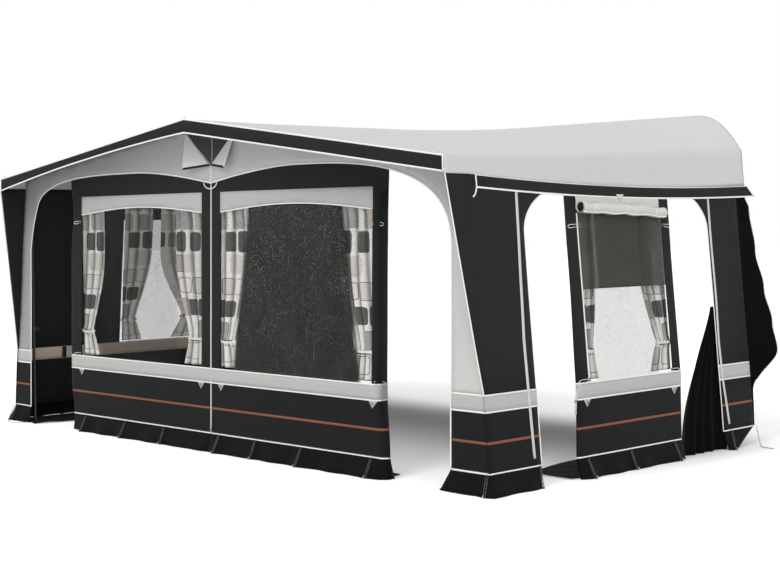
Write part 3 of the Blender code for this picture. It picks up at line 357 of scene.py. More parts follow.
def wall_axes(origin, along, lean, outward):
    up = (Vector((0, 0, 1)) - Vector(outward) * lean).normalized()
    along = Vector(along)
    return Vector(origin), along, up, along.cross(up), math.sqrt(1 + lean * lean)


FRONT = wall_axes((0, -POLE_SETBACK, 0), (1, 0, 0), FRONT_LEAN, (0, -1, 0))
SIDE = wall_axes((HALF_BASE, -POLE_SETBACK, 0), (0, 1, 0), SIDE_LEAN, (1, 0, 0))


def relief(wall, along, height):
    """How far a wall's cloth stands off its plane: slack between its fixings, with slanting pulls."""
    seed = 3.0 if wall is FRONT else 11.0
    slack = noise.noise(Vector((along * 0.9, height * 1.1, seed))) * SLACK_DEPTH
    pulls = noise.noise(Vector((along * 3.1 + height * 1.3, height * 1.6 - along, seed + 5))) * PULL_DEPTH
    ripple = noise.noise(Vector((along * 9.0, height * 2.2, seed + 9))) * RIPPLE_DEPTH
    return slack + pulls + ripple


def on_wall(wall, along, height, out=0.0):
    origin, sideways, up, outward, stretch = wall
    out += relief(wall, along, height)
    return origin + sideways * along + up * (height * stretch) + outward * out


def inside(points, loop):
    """Which of many points lie inside a loop."""
    x, y = points[:, 0], points[:, 1]
    found = np.zeros(len(points), bool)
    ends = np.array(loop)
    for (x0, y0), (x1, y1) in zip(ends, np.roll(ends, -1, 0)):
        if y0 == y1:
            continue
        crosses = (y0 > y) != (y1 > y)
        found ^= crosses & (x < (x1 - x0) * (y - y0) / (y1 - y0) + x0)
    return found


def refined(loop, step, closed=True):
    """A loop with points added so that none of its edges is longer than a step."""
    made = []
    ends = list(zip(loop, loop[1:] + loop[:1])) if closed else list(zip(loop, loop[1:]))
    for start, end in ends:
        start, end = Vector(start), Vector(end)
        count = max(1, math.ceil((end - start).length / step))
        made += [start.lerp(end, i / count) for i in range(count)]
    if not closed:
        made.append(Vector(loop[-1]))
    return made


def flat_area(loop):
    return abs(sum(a[0] * b[1] - b[0] * a[1] for a, b in zip(loop, loop[1:] + loop[:1]))) / 2


def dressed(name, mesh, finish):
    mesh.materials.append(finish.material)
    mesh.shade_smooth()
    return link(name, mesh)


def set_flat(mesh, cut):
    """Writes the flat cut's own coordinates, in metres, as the piece's UV map."""
    layer = mesh.uv_layers.new(name="cut")
    where = np.zeros(len(mesh.loops), np.int32)
    mesh.loops.foreach_get("vertex_index", where)
    layer.data.foreach_set("uv", np.asarray(cut, np.float32)[where].ravel())


def thickened(piece, thickness):
    solid = piece.modifiers.new("cloth", "SOLIDIFY")
    solid.thickness, solid.offset = thickness, 0
    return piece


def cut_cloth(name, outline, finish, place, holes=(), step=MESH_STEP, thickness=CLOTH):
    """Cloth cut to an outline with holes: a net of small triangles, each point put in place."""
    loops = [refined(loop, step) for loop in (outline, *holes)]
    points, edges = [], []
    for loop in loops:
        first = len(points)
        points += loop
        edges += [(first + i, first + (i + 1) % len(loop)) for i in range(len(loop))]
    low, high = np.min(np.array(loops[0]), 0), np.max(np.array(loops[0]), 0)
    across, up = np.meshgrid(np.arange(low[0], high[0], step), np.arange(low[1], high[1], step * 0.87))
    across[1::2] += step / 2
    grid = np.stack([across.ravel(), up.ravel()], 1)
    keep = inside(grid, loops[0])
    for loop in loops[1:]:
        keep &= ~inside(grid, loop)
    grid = grid[keep]
    edge_points = np.array([tuple(p) for p in points])
    apart = np.array([np.min(np.hypot(*(edge_points - p).T)) for p in grid]) if len(grid) else np.array([])
    grid = grid[apart > step * 0.55] if len(grid) else grid
    points += [Vector(p) for p in grid]
    flat, _, faces, _, _, _ = geometry.delaunay_2d_cdt(points, edges, [], 1, 1e-6)
    flat = np.array([tuple(p) for p in flat])
    faces = np.array([f for f in faces if len(f) == 3])
    centres = flat[faces].mean(1)
    for loop in loops[1:]:
        outside = ~inside(centres, loop)
        faces, centres = faces[outside], centres[outside]
    a, b, c = flat[faces[:, 0]], flat[faces[:, 1]], flat[faces[:, 2]]
    turn = (b[:, 0] - a[:, 0]) * (c[:, 1] - a[:, 1]) - (b[:, 1] - a[:, 1]) * (c[:, 0] - a[:, 0])
    faces[turn < 0] = faces[turn < 0][:, ::-1]
    mesh = bpy.data.meshes.new(name)
    mesh.from_pydata([place(*p) for p in flat], [], faces.tolist())
    set_flat(mesh, flat)
    return thickened(dressed(name, mesh, finish), thickness)


def hang(piece, stands_for=(), body="root"):
    """Hangs a piece from its body, and hides the solids that it stands for."""
    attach(piece, body)
    if stands_for:
        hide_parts(*stands_for)
    return piece


def mirror_piece(piece, name):
    """The same piece on the other side of the centre line, with its faces turned back out."""
    mesh = piece.data.copy()
    mesh.name = name
    mesh.transform(Matrix.Scale(-1, 4, Vector((1, 0, 0))))
    mesh.flip_normals()
    made = link(name, mesh)
    for old in piece.modifiers:
        if old.type == "SOLIDIFY":
            thickened(made, old.thickness)
    return made


def woven(name, light, dark, roughness=0.72, coarse=1.0, shine=0.0, gloss=0.3, worn=None):
    """Woven cloth: threads both ways at their real pitch, uneven dye, and soft creases.

    Where a tone slope is given, it holds an axis, two places along it and the tone at each; on the gable it
    is painted shade, darker to the left and lighter to the right.
    """
    made = Finish(name, roughness)
    across, up, _ = made.axes(made.flat)
    thread_pitch = 0.0011 * coarse
    weft = (up * (2 * math.pi / thread_pitch)).wave()
    warp = (across * (2 * math.pi / thread_pitch)).wave()
    blotch = made.noise(1.7, 5.0, 0.6)
    fine = made.noise(38, 3.0)
    dyed = made.mix(blotch * 0.75 + fine * 0.25, dark, light)
    if worn:
        axis, *change = worn
        tone = made.eased(made.axes(made.place)[axis], *change)
        dyed = made.node("ShaderNodeVectorMath", {"operation": "SCALE"}, {"Vector": dyed, "Scale": tone})
    made.colour(dyed)
    made.rough(fine * 0.16 + (roughness - 0.08))
    crease = made.noise(5.0, 4.0, 0.5, made.stretched((1.0, 1.0, 0.6)), 0.6)
    made.bump(crease * 8.0 + (weft + warp) * 0.05 + fine * 0.25, 0.45, 0.0016)
    made.set("Sheen Weight", 0.03)
    made.set("Specular IOR Level", gloss)
    made.set("Coat Weight", shine)
    made.set("Coat Roughness", 0.35)
    return made


grey_cloth = woven("light_grey_cloth", *GREY_DYES)
roof_cloth = woven("roof_cloth", (0.62, 0.62, 0.62, 1), (0.55, 0.55, 0.552, 1), 0.5)
black_cloth = woven(
    "black_cloth", (0.0135, 0.0148, 0.0148, 1), (0.009, 0.010, 0.010, 1), 0.75, gloss=0.12, worn=BLACK_TONE_SLOPE,
)
gable_cloth = woven("gable_grey_cloth", *GREY_DYES, worn=GABLE_PAINTED_SHADE)
# The gussets' cloth is a lighter grey than the gable's: painted light on their lit faces.
gusset_cloth = woven("gusset_cloth", (0.80, 0.80, 0.79, 1), (0.72, 0.72, 0.71, 1))
# The inside of the waist band is coloured a bright warm tan, unlike its grey outside: painted light.
inner_band_painted_light = woven("inner_band_cloth", (0.62, 0.52, 0.42, 1), (0.52, 0.43, 0.34, 1))
orange_cloth = woven("orange_ribbon", (0.275, 0.093, 0.043, 1), (0.205, 0.071, 0.034, 1))
skirt_cloth = woven(
    "coated_skirt_cloth", (0.0042, 0.0042, 0.004, 1), (0.0022, 0.0022, 0.0022, 1), 0.65, 1.6, gloss=0.07,
)


# Roof: one light cloth pitched from the ridge, stretched up to the caravan's rail at the back.
# It turns down each side into a grey drop, and sags a little between its three poles.
CANOPY_REACH = 0.21
PEAK_HEIGHT = 2.464
CORNER_HEIGHT = 2.10
RAIL_HEIGHT = 2.52
RAIL_FLAT_HALF = 2.20
RAIL_SHOULDER_DROP = 0.30
DROP_STAND_OFF = 0.006
SIDE_DROP_HEIGHT = 1.99
SIDE_DROP_SAG = 0.058
EAVE_HALF = HALF_BASE - SIDE_LEAN * CORNER_HEIGHT
ROOF_PITCH = (PEAK_HEIGHT - CORNER_HEIGHT) / EAVE_HALF
ROOF_LENGTH = DEPTH + CANOPY_REACH
ROOF_SAG = 0.006
ROOF_THICKNESS = 0.0016
DROP_SHARE = 0.10


def rail_edge_height(offset):
    beyond = max(abs(offset) - RAIL_FLAT_HALF, 0) / (EAVE_HALF - RAIL_FLAT_HALF)
    return RAIL_HEIGHT - RAIL_SHOULDER_DROP * beyond**2


def roof_height(offset, distance):
    front = PEAK_HEIGHT - ROOF_PITCH * abs(offset)
    share = min(max((distance + CANOPY_REACH) / ROOF_LENGTH, 0), 1)
    bend = 2.8 - 1.5 * min(abs(offset) / EAVE_HALF, 1)
    pull = share**bend
    return front * (1 - pull) + rail_edge_height(offset) * pull


def crease_point(distance):
    height = CORNER_HEIGHT
    for _ in range(4):
        offset = HALF_BASE - SIDE_LEAN * height + DROP_STAND_OFF
        height = roof_height(min(offset, EAVE_HALF), distance)
    return offset, height


def drop_edge_height(distance):
    reach = (distance / DEPTH - 0.6) / 0.6
    return SIDE_DROP_HEIGHT - SIDE_DROP_SAG * max(1 - reach**2, 0)


def side_offset(height, out=0.0):
    return HALF_BASE - SIDE_LEAN * height + out


def roof_slack(offset, distance):
    """Sag between the poles, with fine pulls that fan out from the corners."""
    between = math.sin(math.pi * min(abs(offset) / EAVE_HALF, 1)) ** 2
    along = math.sin(math.pi * min(max((distance + CANOPY_REACH) / ROOF_LENGTH, 0), 1))
    pulls = noise.noise(Vector((offset * 1.4, distance * 1.1, 2.0))) * 0.006
    fine = noise.noise(Vector((offset * 4.0 + distance * 2.0, distance * 2.5 - offset, 7.0))) * 0.0022
    return -ROOF_SAG * between * along + (pulls + fine) * along


def roof_place(across, along):
    """A point of the roof, for shares of the way from drop to drop and from front to rail."""
    distance = -CANOPY_REACH + ROOF_LENGTH * along
    crease, crease_height = crease_point(distance)
    side = 1 if across > 0.5 else -1
    outer = abs(across - 0.5) * 2
    if outer <= 1 - DROP_SHARE:
        offset = crease * outer / (1 - DROP_SHARE)
        fade = min((1 - DROP_SHARE - outer) / 0.04, 1)
        height = roof_height(offset, distance) + roof_slack(side * offset, distance) * fade
        run = offset
    else:
        down = (outer - 1 + DROP_SHARE) / DROP_SHARE
        height = crease_height + (drop_edge_height(distance) - crease_height) * down
        wobble = noise.noise(Vector((distance * 1.6, height * 3.0, 4.0 + side))) * 0.003 * down
        offset = side_offset(height, DROP_STAND_OFF + wobble)
        run = crease + crease_height - height
    return Vector((side * offset, distance - POLE_SETBACK, height)), (side * run, distance)


def sheet_grid(name, columns, rows, place, finish, thickness=CLOTH):
    """A sheet made of even cells: place gives each point and where it lies on the flat cut."""
    points, cut = [], []
    for row in range(rows + 1):
        for column in range(columns + 1):
            point, flat = place(column / columns, row / rows)
            points.append(point)
            cut.append(flat)
    wide = columns + 1
    faces = [
        (r * wide + c, r * wide + c + 1, (r + 1) * wide + c + 1, (r + 1) * wide + c)
        for r in range(rows) for c in range(columns)
    ]
    mesh = bpy.data.meshes.new(name)
    mesh.from_pydata(points, [], faces)
    set_flat(mesh, cut)
    return thickened(dressed(name, mesh, finish), thickness)


roof = sheet_grid("roof_cloth", 160, 110, roof_place, roof_cloth, ROOF_THICKNESS)
hang(roof, ["roof_canopy"])


# Tapes: white folded binding, sewn round every cut edge and along the hems.
# Each is a flat oval loft that follows its edge and closes over it from both sides.
TAPE_WIDTH = 0.012
TAPE_DEPTH = 0.0046
TAPE_SIDES = 8
OVAL_FLATTEN = 0.7
NARROW_TAPE = 0.010
TRIM = CLOTH * 0.7


def facing(wall):
    return wall[3]


def ease(value, low, high):
    share = min(max((value - low) / (high - low), 0), 1)
    return share * share * (3 - 2 * share)


def tape(name, routes, finish, width=TAPE_WIDTH, depth=TAPE_DEPTH):
    """One mesh of lofts along routes; each route is its points and the way its wall faces."""
    points, faces, cut = [], [], []
    for route, outward in routes:
        run = 0.0
        for index, point in enumerate(route):
            before, after = route[max(index - 1, 0)], route[min(index + 1, len(route) - 1)]
            ahead = (after - before).normalized()
            side = ahead.cross(outward).normalized()
            out = side.cross(ahead)
            run += (point - before).length if index else 0
            for turn in range(TAPE_SIDES):
                angle = 2 * math.pi * turn / TAPE_SIDES
                flat, thick = math.cos(angle), math.sin(angle)
                flat = math.copysign(abs(flat) ** OVAL_FLATTEN, flat)
                points.append(point + side * (width / 2 * flat) + out * (depth / 2 * thick))
                cut.append((run, turn * width * 2 / TAPE_SIDES))
        last = len(points) - TAPE_SIDES
        first = last - TAPE_SIDES * (len(route) - 1)
        for ring in range(first, last, TAPE_SIDES):
            for turn in range(TAPE_SIDES):
                after = (turn + 1) % TAPE_SIDES
                faces.append((ring + turn, ring + after, ring + TAPE_SIDES + after, ring + TAPE_SIDES + turn))
        faces.append([first + turn for turn in reversed(range(TAPE_SIDES))])
        faces.append([last + turn for turn in range(TAPE_SIDES)])
    mesh = bpy.data.meshes.new(name)
    mesh.from_pydata(points, [], faces)
    set_flat(mesh, cut)
    return dressed(name, mesh, finish)


def cloth_route(place, ends, wall, step=SEAM_STEP):
    """A route on a placed cloth, with points added, for ends given as (along, height)."""
    return [place(*end) for end in refined(ends, step, closed=False)], facing(wall)


def wall_route(wall, ends, out=0.0):
    return cloth_route(lambda x, z: on_wall(wall, x, z, out), ends, wall, MESH_STEP)


def mirrored_route(route):
    points, outward = route
    return [Vector((-p.x, p.y, p.z)) for p in points], Vector((-outward.x, outward.y, outward.z))


def of_side(side, routes):
    """Routes that were made for the right side, turned over where they are wanted on the left."""
    return routes if side == "right" else [mirrored_route(route) for route in routes]


def strip(name, place, ends, heights, finish):
    """A straight band of thin cloth, sewn on between two ends and two heights."""
    (start, end), (low, high) = ends, heights
    columns = max(2, math.ceil(abs(end - start) / SEAM_STEP))
    rows = max(1, math.ceil((high - low) / MESH_STEP))

    def point(across, up):
        x, z = start + (end - start) * across, low + (high - low) * up
        return place(x, z), (x, z)

    return sheet_grid(name, columns, rows, point, finish, TRIM)


def joined(name, parts):
    """Several flat parts of one cloth made one piece."""
    for part in parts:
        for old in list(part.modifiers):
            thickness = old.thickness
            part.modifiers.remove(old)
    mesh = bpy.data.meshes.new(name)
    shape = bmesh.new()
    for part in parts:
        shape.from_mesh(part.data)
    shape.to_mesh(mesh)
    shape.free()
    mesh.materials.append(parts[0].data.materials[0])
    mesh.shade_smooth()
    for part in parts:
        bpy.data.objects.remove(part, do_unlink=True)
    return thickened(link(name, mesh), thickness)


white_tape = Finish("white_binding", 0.45)
weave_run, _, _ = white_tape.axes(white_tape.flat)
dirt = white_tape.noise(9.0, 4.0)
white_tape.colour(white_tape.mix(dirt, (0.93, 0.93, 0.91, 1), (0.82, 0.82, 0.80, 1)))
white_tape.bump((weave_run * (2 * math.pi / 0.003)).wave() * 0.5 + dirt, 0.35, 0.0006)
white_tape.rough(dirt * 0.2 + 0.38)


def bound(name, routes, width=TAPE_WIDTH, depth=TAPE_DEPTH):
    """White binding along routes, hung on the whole awning."""
    return hang(tape(name, routes, white_tape, width, depth))


# Front fascia: black board of cloth along the roof's front edge, piped in white above and below.
# Its left half is shallower between the peak and the corner, and both ends are piped too.
FASCIA_TALL = 0.097
FASCIA_SHORT = 0.062
FASCIA_OUT = 0.0014


def fascia_depth(offset):
    if offset >= 0:
        return FASCIA_TALL
    share = abs(2 * abs(offset) / EAVE_HALF - 1)
    return FASCIA_SHORT + (FASCIA_TALL - FASCIA_SHORT) * share**2


def fascia_point(offset, share, out=FASCIA_OUT):
    height = roof_height(offset, -CANOPY_REACH) - fascia_depth(offset) * share
    wave = noise.noise(Vector((offset * 2.3, share * 1.5, 21.0))) * 0.004 * share
    return Vector((offset, -POLE_SETBACK - CANOPY_REACH - out - wave, height))


def fascia_place(across, along):
    offset = EAVE_HALF * (across * 2 - 1)
    return fascia_point(offset, 1 - along), (offset, -fascia_depth(offset) * (1 - along))


fascia = hang(sheet_grid("fascia_cloth", 150, 4, fascia_place, black_cloth), ["front_fascia"])
steps = [EAVE_HALF * (i / 75 - 1) for i in range(151)]
forward = Vector((0, -1, 0))
fascia_tape = bound("fascia_bindings", [
    ([fascia_point(x, 0.0) for x in steps], forward),
    ([fascia_point(x, 1.0) for x in steps], forward),
    ([fascia_point(EAVE_HALF, i / 6) for i in range(7)], forward),
    ([fascia_point(-EAVE_HALF, i / 6) for i in range(7)], forward),
])


# Side valances: black, sewn under the grey drops, cut to a point at the caravan.
# Their lower edge and front end are piped, and the piping ends in a loose tail at the front.
VALANCE_HEIGHT = 0.076
VALANCE_START = 0.07
VALANCE_FLARE = 0.022
TIP_REACH = 0.03 * DEPTH
TAIL_DROP = (0.0, -0.022, -0.046, -0.062)
TAIL_FORWARD = (0.0, 0.004, 0.014, 0.034)
SEAM_GAP = 0.001
VALANCE_SEAM = (0.005, 0.003)


def valance_point(distance, share):
    across = (distance - VALANCE_START) / (DEPTH - VALANCE_START)
    height = drop_edge_height(distance) - SEAM_GAP - VALANCE_HEIGHT * share
    wave = noise.noise(Vector((distance * 2.7, share, 31.0))) * 0.005 * share
    out = DROP_STAND_OFF + VALANCE_FLARE * across**6 + wave
    forward = distance + TIP_REACH * across**8 * share - POLE_SETBACK
    return Vector((side_offset(height, out), forward, height))


def valance_place(across, along):
    distance = VALANCE_START + (DEPTH - VALANCE_START) * across
    return valance_point(distance, 1 - along), (distance, VALANCE_HEIGHT * along)


valance = sheet_grid("side_valance_cloth_right", 100, 4, valance_place, black_cloth)
other_valance = mirror_piece(valance, "side_valance_cloth_left")
runs = [VALANCE_START + (DEPTH - VALANCE_START) * i / 100 for i in range(101)]
outside = Vector((1, 0, 0))
corner_end = valance_point(VALANCE_START, 1.0)
tail = [corner_end + Vector((0, -y, z)) for y, z in zip(TAIL_FORWARD, TAIL_DROP)]
valance_routes = [
    ([valance_point(d, 1.0) for d in runs], outside),
    ([valance_point(VALANCE_START, i / 5) for i in range(6)], outside),
    (tail, outside),
    ([valance_point(DEPTH, i / 5) for i in range(6)], outside),
]
seam_route = ([valance_point(d, 0.0) for d in runs], outside)
for cloth, side in ((valance, "right"), (other_valance, "left")):
    hang(cloth, [f"side_valance_{side}"])
    edge = bound(f"side_valance_binding_{side}", of_side(side, valance_routes))
    seam = bound(f"side_valance_seam_{side}", of_side(side, [seam_route]), *VALANCE_SEAM)


# Front gable: light grey cloth under the roof, drawn down into a leg at each corner.
# Its arched lower edge is bound in white, and the legs have a black lower board with a stripe.
HEM_HEIGHT = 0.139
BAND_BOTTOM = 0.517
BAND_TOP = 0.622
STRIPE_HEIGHT = 0.327
STRIPE_WIDTH = 0.017
LEG_INNER = {1: 2.44, -1: 2.52}
ARCH_SPRING = 1.50
ARCH_TOP = 2.11
ARCH_TOP_OFFSET = 0.95
ARCH_CENTRE = 2.004
ARCH_ROUNDNESS = {1: 2.8, -1: 3.5}
ARCH_DIP_ROUNDNESS = 1.6
VENT_HALF_WIDTH = 0.30
VENT_TOP = 2.43
VENT_FOOT_HALF = 0.245
VENT_FOOT_DROP = 0.028
VENT_BOTTOM = 2.14
VENT_HOOD = 0.07
POLE_ROOM = 0.0435
LAYER = 0.0016
PIPE_OUT = 0.0004
GABLE_SEAT = 0.002
ARCH_LEAN = {1: 0.0, -1: 0.055}
ARCH_LEAN_HEIGHT = 1.80
BAND = (BAND_BOTTOM, BAND_TOP)
STRIPE = (STRIPE_HEIGHT - STRIPE_WIDTH / 2, STRIPE_HEIGHT + STRIPE_WIDTH / 2)
VENT_TOP_EDGE = VENT_TOP - POLE_ROOM
PIPED_HEIGHTS = ((HEM_HEIGHT, PIPE_OUT), (BAND_BOTTOM, LAYER), (BAND_TOP, LAYER))


def gable_arch(side, steps=26, inner_steps=22):
    inner, roundness = LEG_INNER[side], ARCH_ROUNDNESS[side]
    points = [(inner, HEM_HEIGHT), (inner, ARCH_SPRING)]
    for step in range(1, steps + 1):
        angle = math.pi / 2 * step / steps
        across, up = (max(f(angle), 0) ** (2 / roundness) for f in (math.cos, math.sin))
        points.append((
            ARCH_TOP_OFFSET + (inner - ARCH_TOP_OFFSET) * across,
            ARCH_SPRING + (ARCH_TOP - ARCH_SPRING) * up,
        ))
    for step in range(1, inner_steps + 1):
        left = step / inner_steps
        rise = 1 - left**ARCH_DIP_ROUNDNESS
        points.append((ARCH_TOP_OFFSET * (1 - left), ARCH_CENTRE + (ARCH_TOP - ARCH_CENTRE) * rise))

    def lean(x, z):
        rising = ease(z, ARCH_LEAN_HEIGHT - 0.42, ARCH_LEAN_HEIGHT)
        fading = 1 - ease(z, ARCH_LEAN_HEIGHT, ARCH_LEAN_HEIGHT + 0.2)
        return ARCH_LEAN[side] * rising * fading * ease(x, 1.7, 2.2)

    return [(x - lean(x, z), z) for x, z in points]


def both_sides(right, left):
    return right + [(-x, z) for x, z in reversed(left) if x > 1e-6]


def wall_corner(height):
    return side_offset(height) - GABLE_SEAT


def gable_side(side):
    half = [(x, z) for x, z in reversed(gable_arch(side)) if z > BAND_TOP] + [
        (LEG_INNER[side], BAND_TOP), (wall_corner(BAND_TOP), BAND_TOP),
        (wall_corner(CORNER_HEIGHT - 0.03), CORNER_HEIGHT - 0.03),
    ]
    return half + [(x, roof_height(x, 0) - GABLE_SEAT) for x in np.linspace(2.5, 0, 30).tolist()]


arch = gable_arch(1)
whole_arch = both_sides(arch, gable_arch(-1))
whole_gable = both_sides(gable_side(1), gable_side(-1))
vent_hole = [(-VENT_HALF_WIDTH, VENT_TOP_EDGE), (VENT_HALF_WIDTH, VENT_TOP_EDGE), (0, VENT_BOTTOM)]
gable = cut_cloth(
    "gable_cloth", whole_gable, gable_cloth, lambda x, z: on_wall(FRONT, x, z), [vent_hole], 0.045,
)
leg_boards, leg_bands, leg_stripes = [], [], []
for side in (1, -1):
    def leg_point(across, up, low, high, out, side=side):
        height = low + (high - low) * up
        x = LEG_INNER[side] + (wall_corner(height) - LEG_INNER[side]) * across
        return on_wall(FRONT, side * x, height, out), (side * x, height)
    for found, title, low, high, out, finish in (
        (leg_boards, "board", HEM_HEIGHT, BAND_TOP, 0.0, black_cloth),
        (leg_bands, "band", *BAND, LAYER, grey_cloth),
        (leg_stripes, "stripe", *STRIPE, LAYER, orange_cloth),
    ):
        grown = (lambda a, u, low=low, high=high, out=out: leg_point(a, u, low, high, out))
        turned = grown if side == 1 else (lambda a, u, grown=grown: grown(1 - a, u))
        rows = max(1, math.ceil((high - low) / MESH_STEP))
        found.append(sheet_grid(title, 10, rows, turned, finish, CLOTH if finish is black_cloth else TRIM))
boards = hang(joined("leg_boards", leg_boards))
bands = hang(joined("leg_bands", leg_bands))
stripes = hang(joined("leg_stripes", leg_stripes))
hang(gable, ["front_gable"])
gable_routes = [wall_route(FRONT, whole_arch, PIPE_OUT)]
for side in (1, -1):
    for height, out in PIPED_HEIGHTS:
        ends = [(side * LEG_INNER[side], height), (side * wall_corner(height), height)]
        gable_routes.append(wall_route(FRONT, ends, out))
gable_tape = bound("gable_bindings", gable_routes)
GABLE_RUN = 2 * (HALF_BASE + CORNER_HEIGHT - BAND_TOP)
gable_area = flat_area(whole_gable) - flat_area(vent_hole)
gable_area / GABLE_RUN


# Gable vent: a dark net in a three-cornered hole, behind two gussets that stand forward of it.
# A dark band closes their foot, painted shade of the gap under them, and a white tape runs down the middle to
# the arch.
LEAST_SHARE = 0.04
VENT_LAP = 0.016


def gusset_place(across, along):
    across = LEAST_SHARE + (1 - LEAST_SHARE) * across
    along = LEAST_SHARE + (1 - LEAST_SHARE) * along
    offset = VENT_HALF_WIDTH * (1 - along) + VENT_FOOT_HALF * along * across
    height = VENT_TOP_EDGE + (VENT_BOTTOM - VENT_TOP_EDGE) * along - VENT_FOOT_DROP * along * across
    out = GABLE_SEAT + LAYER + VENT_HOOD * along * across
    return on_wall(FRONT, offset, height, out), (offset, height)


net_seam = woven("vent_seam_ribbon", (0.42, 0.42, 0.41, 1), (0.34, 0.34, 0.33, 1))
net = Finish("vent_net", 0.8)
net_x, _, net_z = net.axes(net.place)
holes = (net_x * 2100).wave() * (net_z * 2100).wave()
# The holes between the threads are coloured near black: painted shade of the dark inside seen through them.
net.colour(net.mix(holes > 0.25, (0.055, 0.055, 0.05, 1), (0.012, 0.012, 0.012, 1)))
net.bump(holes, 0.6, 0.0008)
vent_net = cut_cloth("vent_net_cloth", [
    (-VENT_HALF_WIDTH - VENT_LAP, VENT_TOP_EDGE + VENT_LAP), (0, VENT_BOTTOM - VENT_LAP),
    (VENT_HALF_WIDTH + VENT_LAP, VENT_TOP_EDGE + VENT_LAP),
], net, lambda x, z: on_wall(FRONT, x, z, INNER_LAYER), (), 0.03, 0.0008)
hang(vent_net, ["gable_vent_net"])
gusset = sheet_grid("vent_gusset_right", 10, 14, gusset_place, gusset_cloth)
other_gusset = mirror_piece(gusset, "vent_gusset_left")
for cloth, side in ((gusset, "right"), (other_gusset, "left")):
    hang(cloth, [f"gable_vent_flap_{side}"])
foot_route = ([gusset_place(i / 8, 1.0)[0] for i in range(9)], facing(FRONT))
outer_route = ([gusset_place(1.0, i / 8)[0] for i in range(9)], facing(FRONT))
foot_routes = [foot_route, mirrored_route(foot_route)]
# A black tape along the gussets' foot: painted shade of the gap under them.
vent_foot_painted_shade = hang(tape("vent_foot_painted_shade_band", foot_routes, black_cloth, 0.016))
vent_white = bound("vent_bindings", [
    outer_route, mirrored_route(outer_route),
    wall_route(
        FRONT, [(0, VENT_BOTTOM - 0.012), (0.004, VENT_BOTTOM - 0.06), (-0.004, ARCH_CENTRE)], GABLE_SEAT,
    ),
], NARROW_TAPE)
vent_seam = hang(tape("vent_net_seam", [
    wall_route(FRONT, [(0.015, VENT_TOP_EDGE), (0.012, VENT_BOTTOM + 0.012)], INNER_LAYER + 0.002),
], net_seam, 0.010, 0.0026))


# Front panels: two zipped black panels, each with a clear film window under a grey pelmet.
# A grey waist band with eyelet tabs, an orange ribbon and a piped hem cross them both.
PANEL_HALF_SPAN = 1.88
PANEL_TUCK = 0.035
WINDOW_INNER = 0.115
WINDOW_OUTER = 1.72
WINDOW_TOP = 1.786
WINDOW_CROWN = 0.052
PELMET_TOP = 1.935
CURL_START = 1.80
CURL_RADIUS = 0.045
CURL_LIMIT = 1.9
CURL_TOP = 2.08
CURL_EASE = 0.35
CURL_SHIFT = 0.083
LEFT_START = 1.885
LEFT_TUCK = 0.055
PANEL_STEP = 0.022
ZIP_HALF = 0.006
TAB_HALF = 0.042
TAB_DROP = 0.055
TAB_PLACES = (0.12, 1.73)
TAB_THICKNESS = CLOTH * 0.8
WINDOW_TAPE = 0.009
FILM_GLOSS = 0.16
FILM_FADE = 0.035
FILM_INSET = 0.0012
FILM_THICKNESS = 0.0006
PELMET_LAP = 0.004
CURTAIN_TOP = 1.86


def turned_in(along, start, radius, out, easing):
    """A free end of cloth turned in round a soft bend: its place along the wall, and out of it."""
    beyond = abs(along) - start if start > 0 else -start - abs(along)
    sense = 1 if start > 0 else -1
    if beyond <= 0:
        return along, out
    angle = min(beyond / radius, CURL_LIMIT)
    straight = beyond - angle * radius
    across = radius * math.sin(angle) + straight * math.cos(angle) + out * math.sin(angle)
    back = radius * (1 - math.cos(angle)) + straight * math.sin(angle) - out * math.cos(angle)
    bent = math.copysign(abs(start) + sense * across, along)
    return along + (bent - along) * easing, out - (back + out) * easing


def curl_start(along, height):
    if along > 0:
        return CURL_START - CURL_SHIFT * ease(height, HEM_HEIGHT, BAND_TOP)
    return LEFT_START - LEFT_TUCK * (1 - ease(height, HEM_HEIGHT, BAND_BOTTOM) + ease(height, 1.2, 1.9))


def panel_place(out=0.0):
    def place(along, height):
        easing = ease(CURL_TOP - height, 0.0, CURL_EASE)
        start = curl_start(along, height)
        x, stand = turned_in(along, start, CURL_RADIUS, out, easing)
        return on_wall(FRONT, x, height, INNER_LAYER + stand)
    return place


def panel_route(ends, out=0.0):
    return cloth_route(panel_place(out), ends, FRONT)


def arch_height(offset):
    for (outer_x, outer_z), (inner_x, inner_z) in zip(arch[1:], arch[2:]):
        if inner_x <= offset <= outer_x:
            return inner_z + (outer_z - inner_z) * (offset - inner_x) / (outer_x - inner_x)
    return ARCH_TOP


def window_top(along):
    share = (along - WINDOW_INNER) / (WINDOW_OUTER - WINDOW_INNER)
    return WINDOW_TOP + WINDOW_CROWN * math.sin(math.pi * share)


def tab_cut(along):
    """A three-cornered tab that hangs from the waist band."""
    return [
        (along - TAB_HALF, BAND_BOTTOM), (along, BAND_BOTTOM - TAB_DROP), (along + TAB_HALF, BAND_BOTTOM),
    ]


panel_steps = np.linspace(PANEL_HALF_SPAN, ZIP_HALF / 2, 28).tolist()
panel_outline = [(ZIP_HALF / 2, HEM_HEIGHT), (PANEL_HALF_SPAN, HEM_HEIGHT)]
panel_outline += [(x, arch_height(x) + PANEL_TUCK) for x in panel_steps]
window_crest = [(x, window_top(x)) for x in np.linspace(WINDOW_OUTER, WINDOW_INNER, 24).tolist()]
window_hole = [(WINDOW_INNER, BAND_TOP), (WINDOW_OUTER, BAND_TOP)] + window_crest


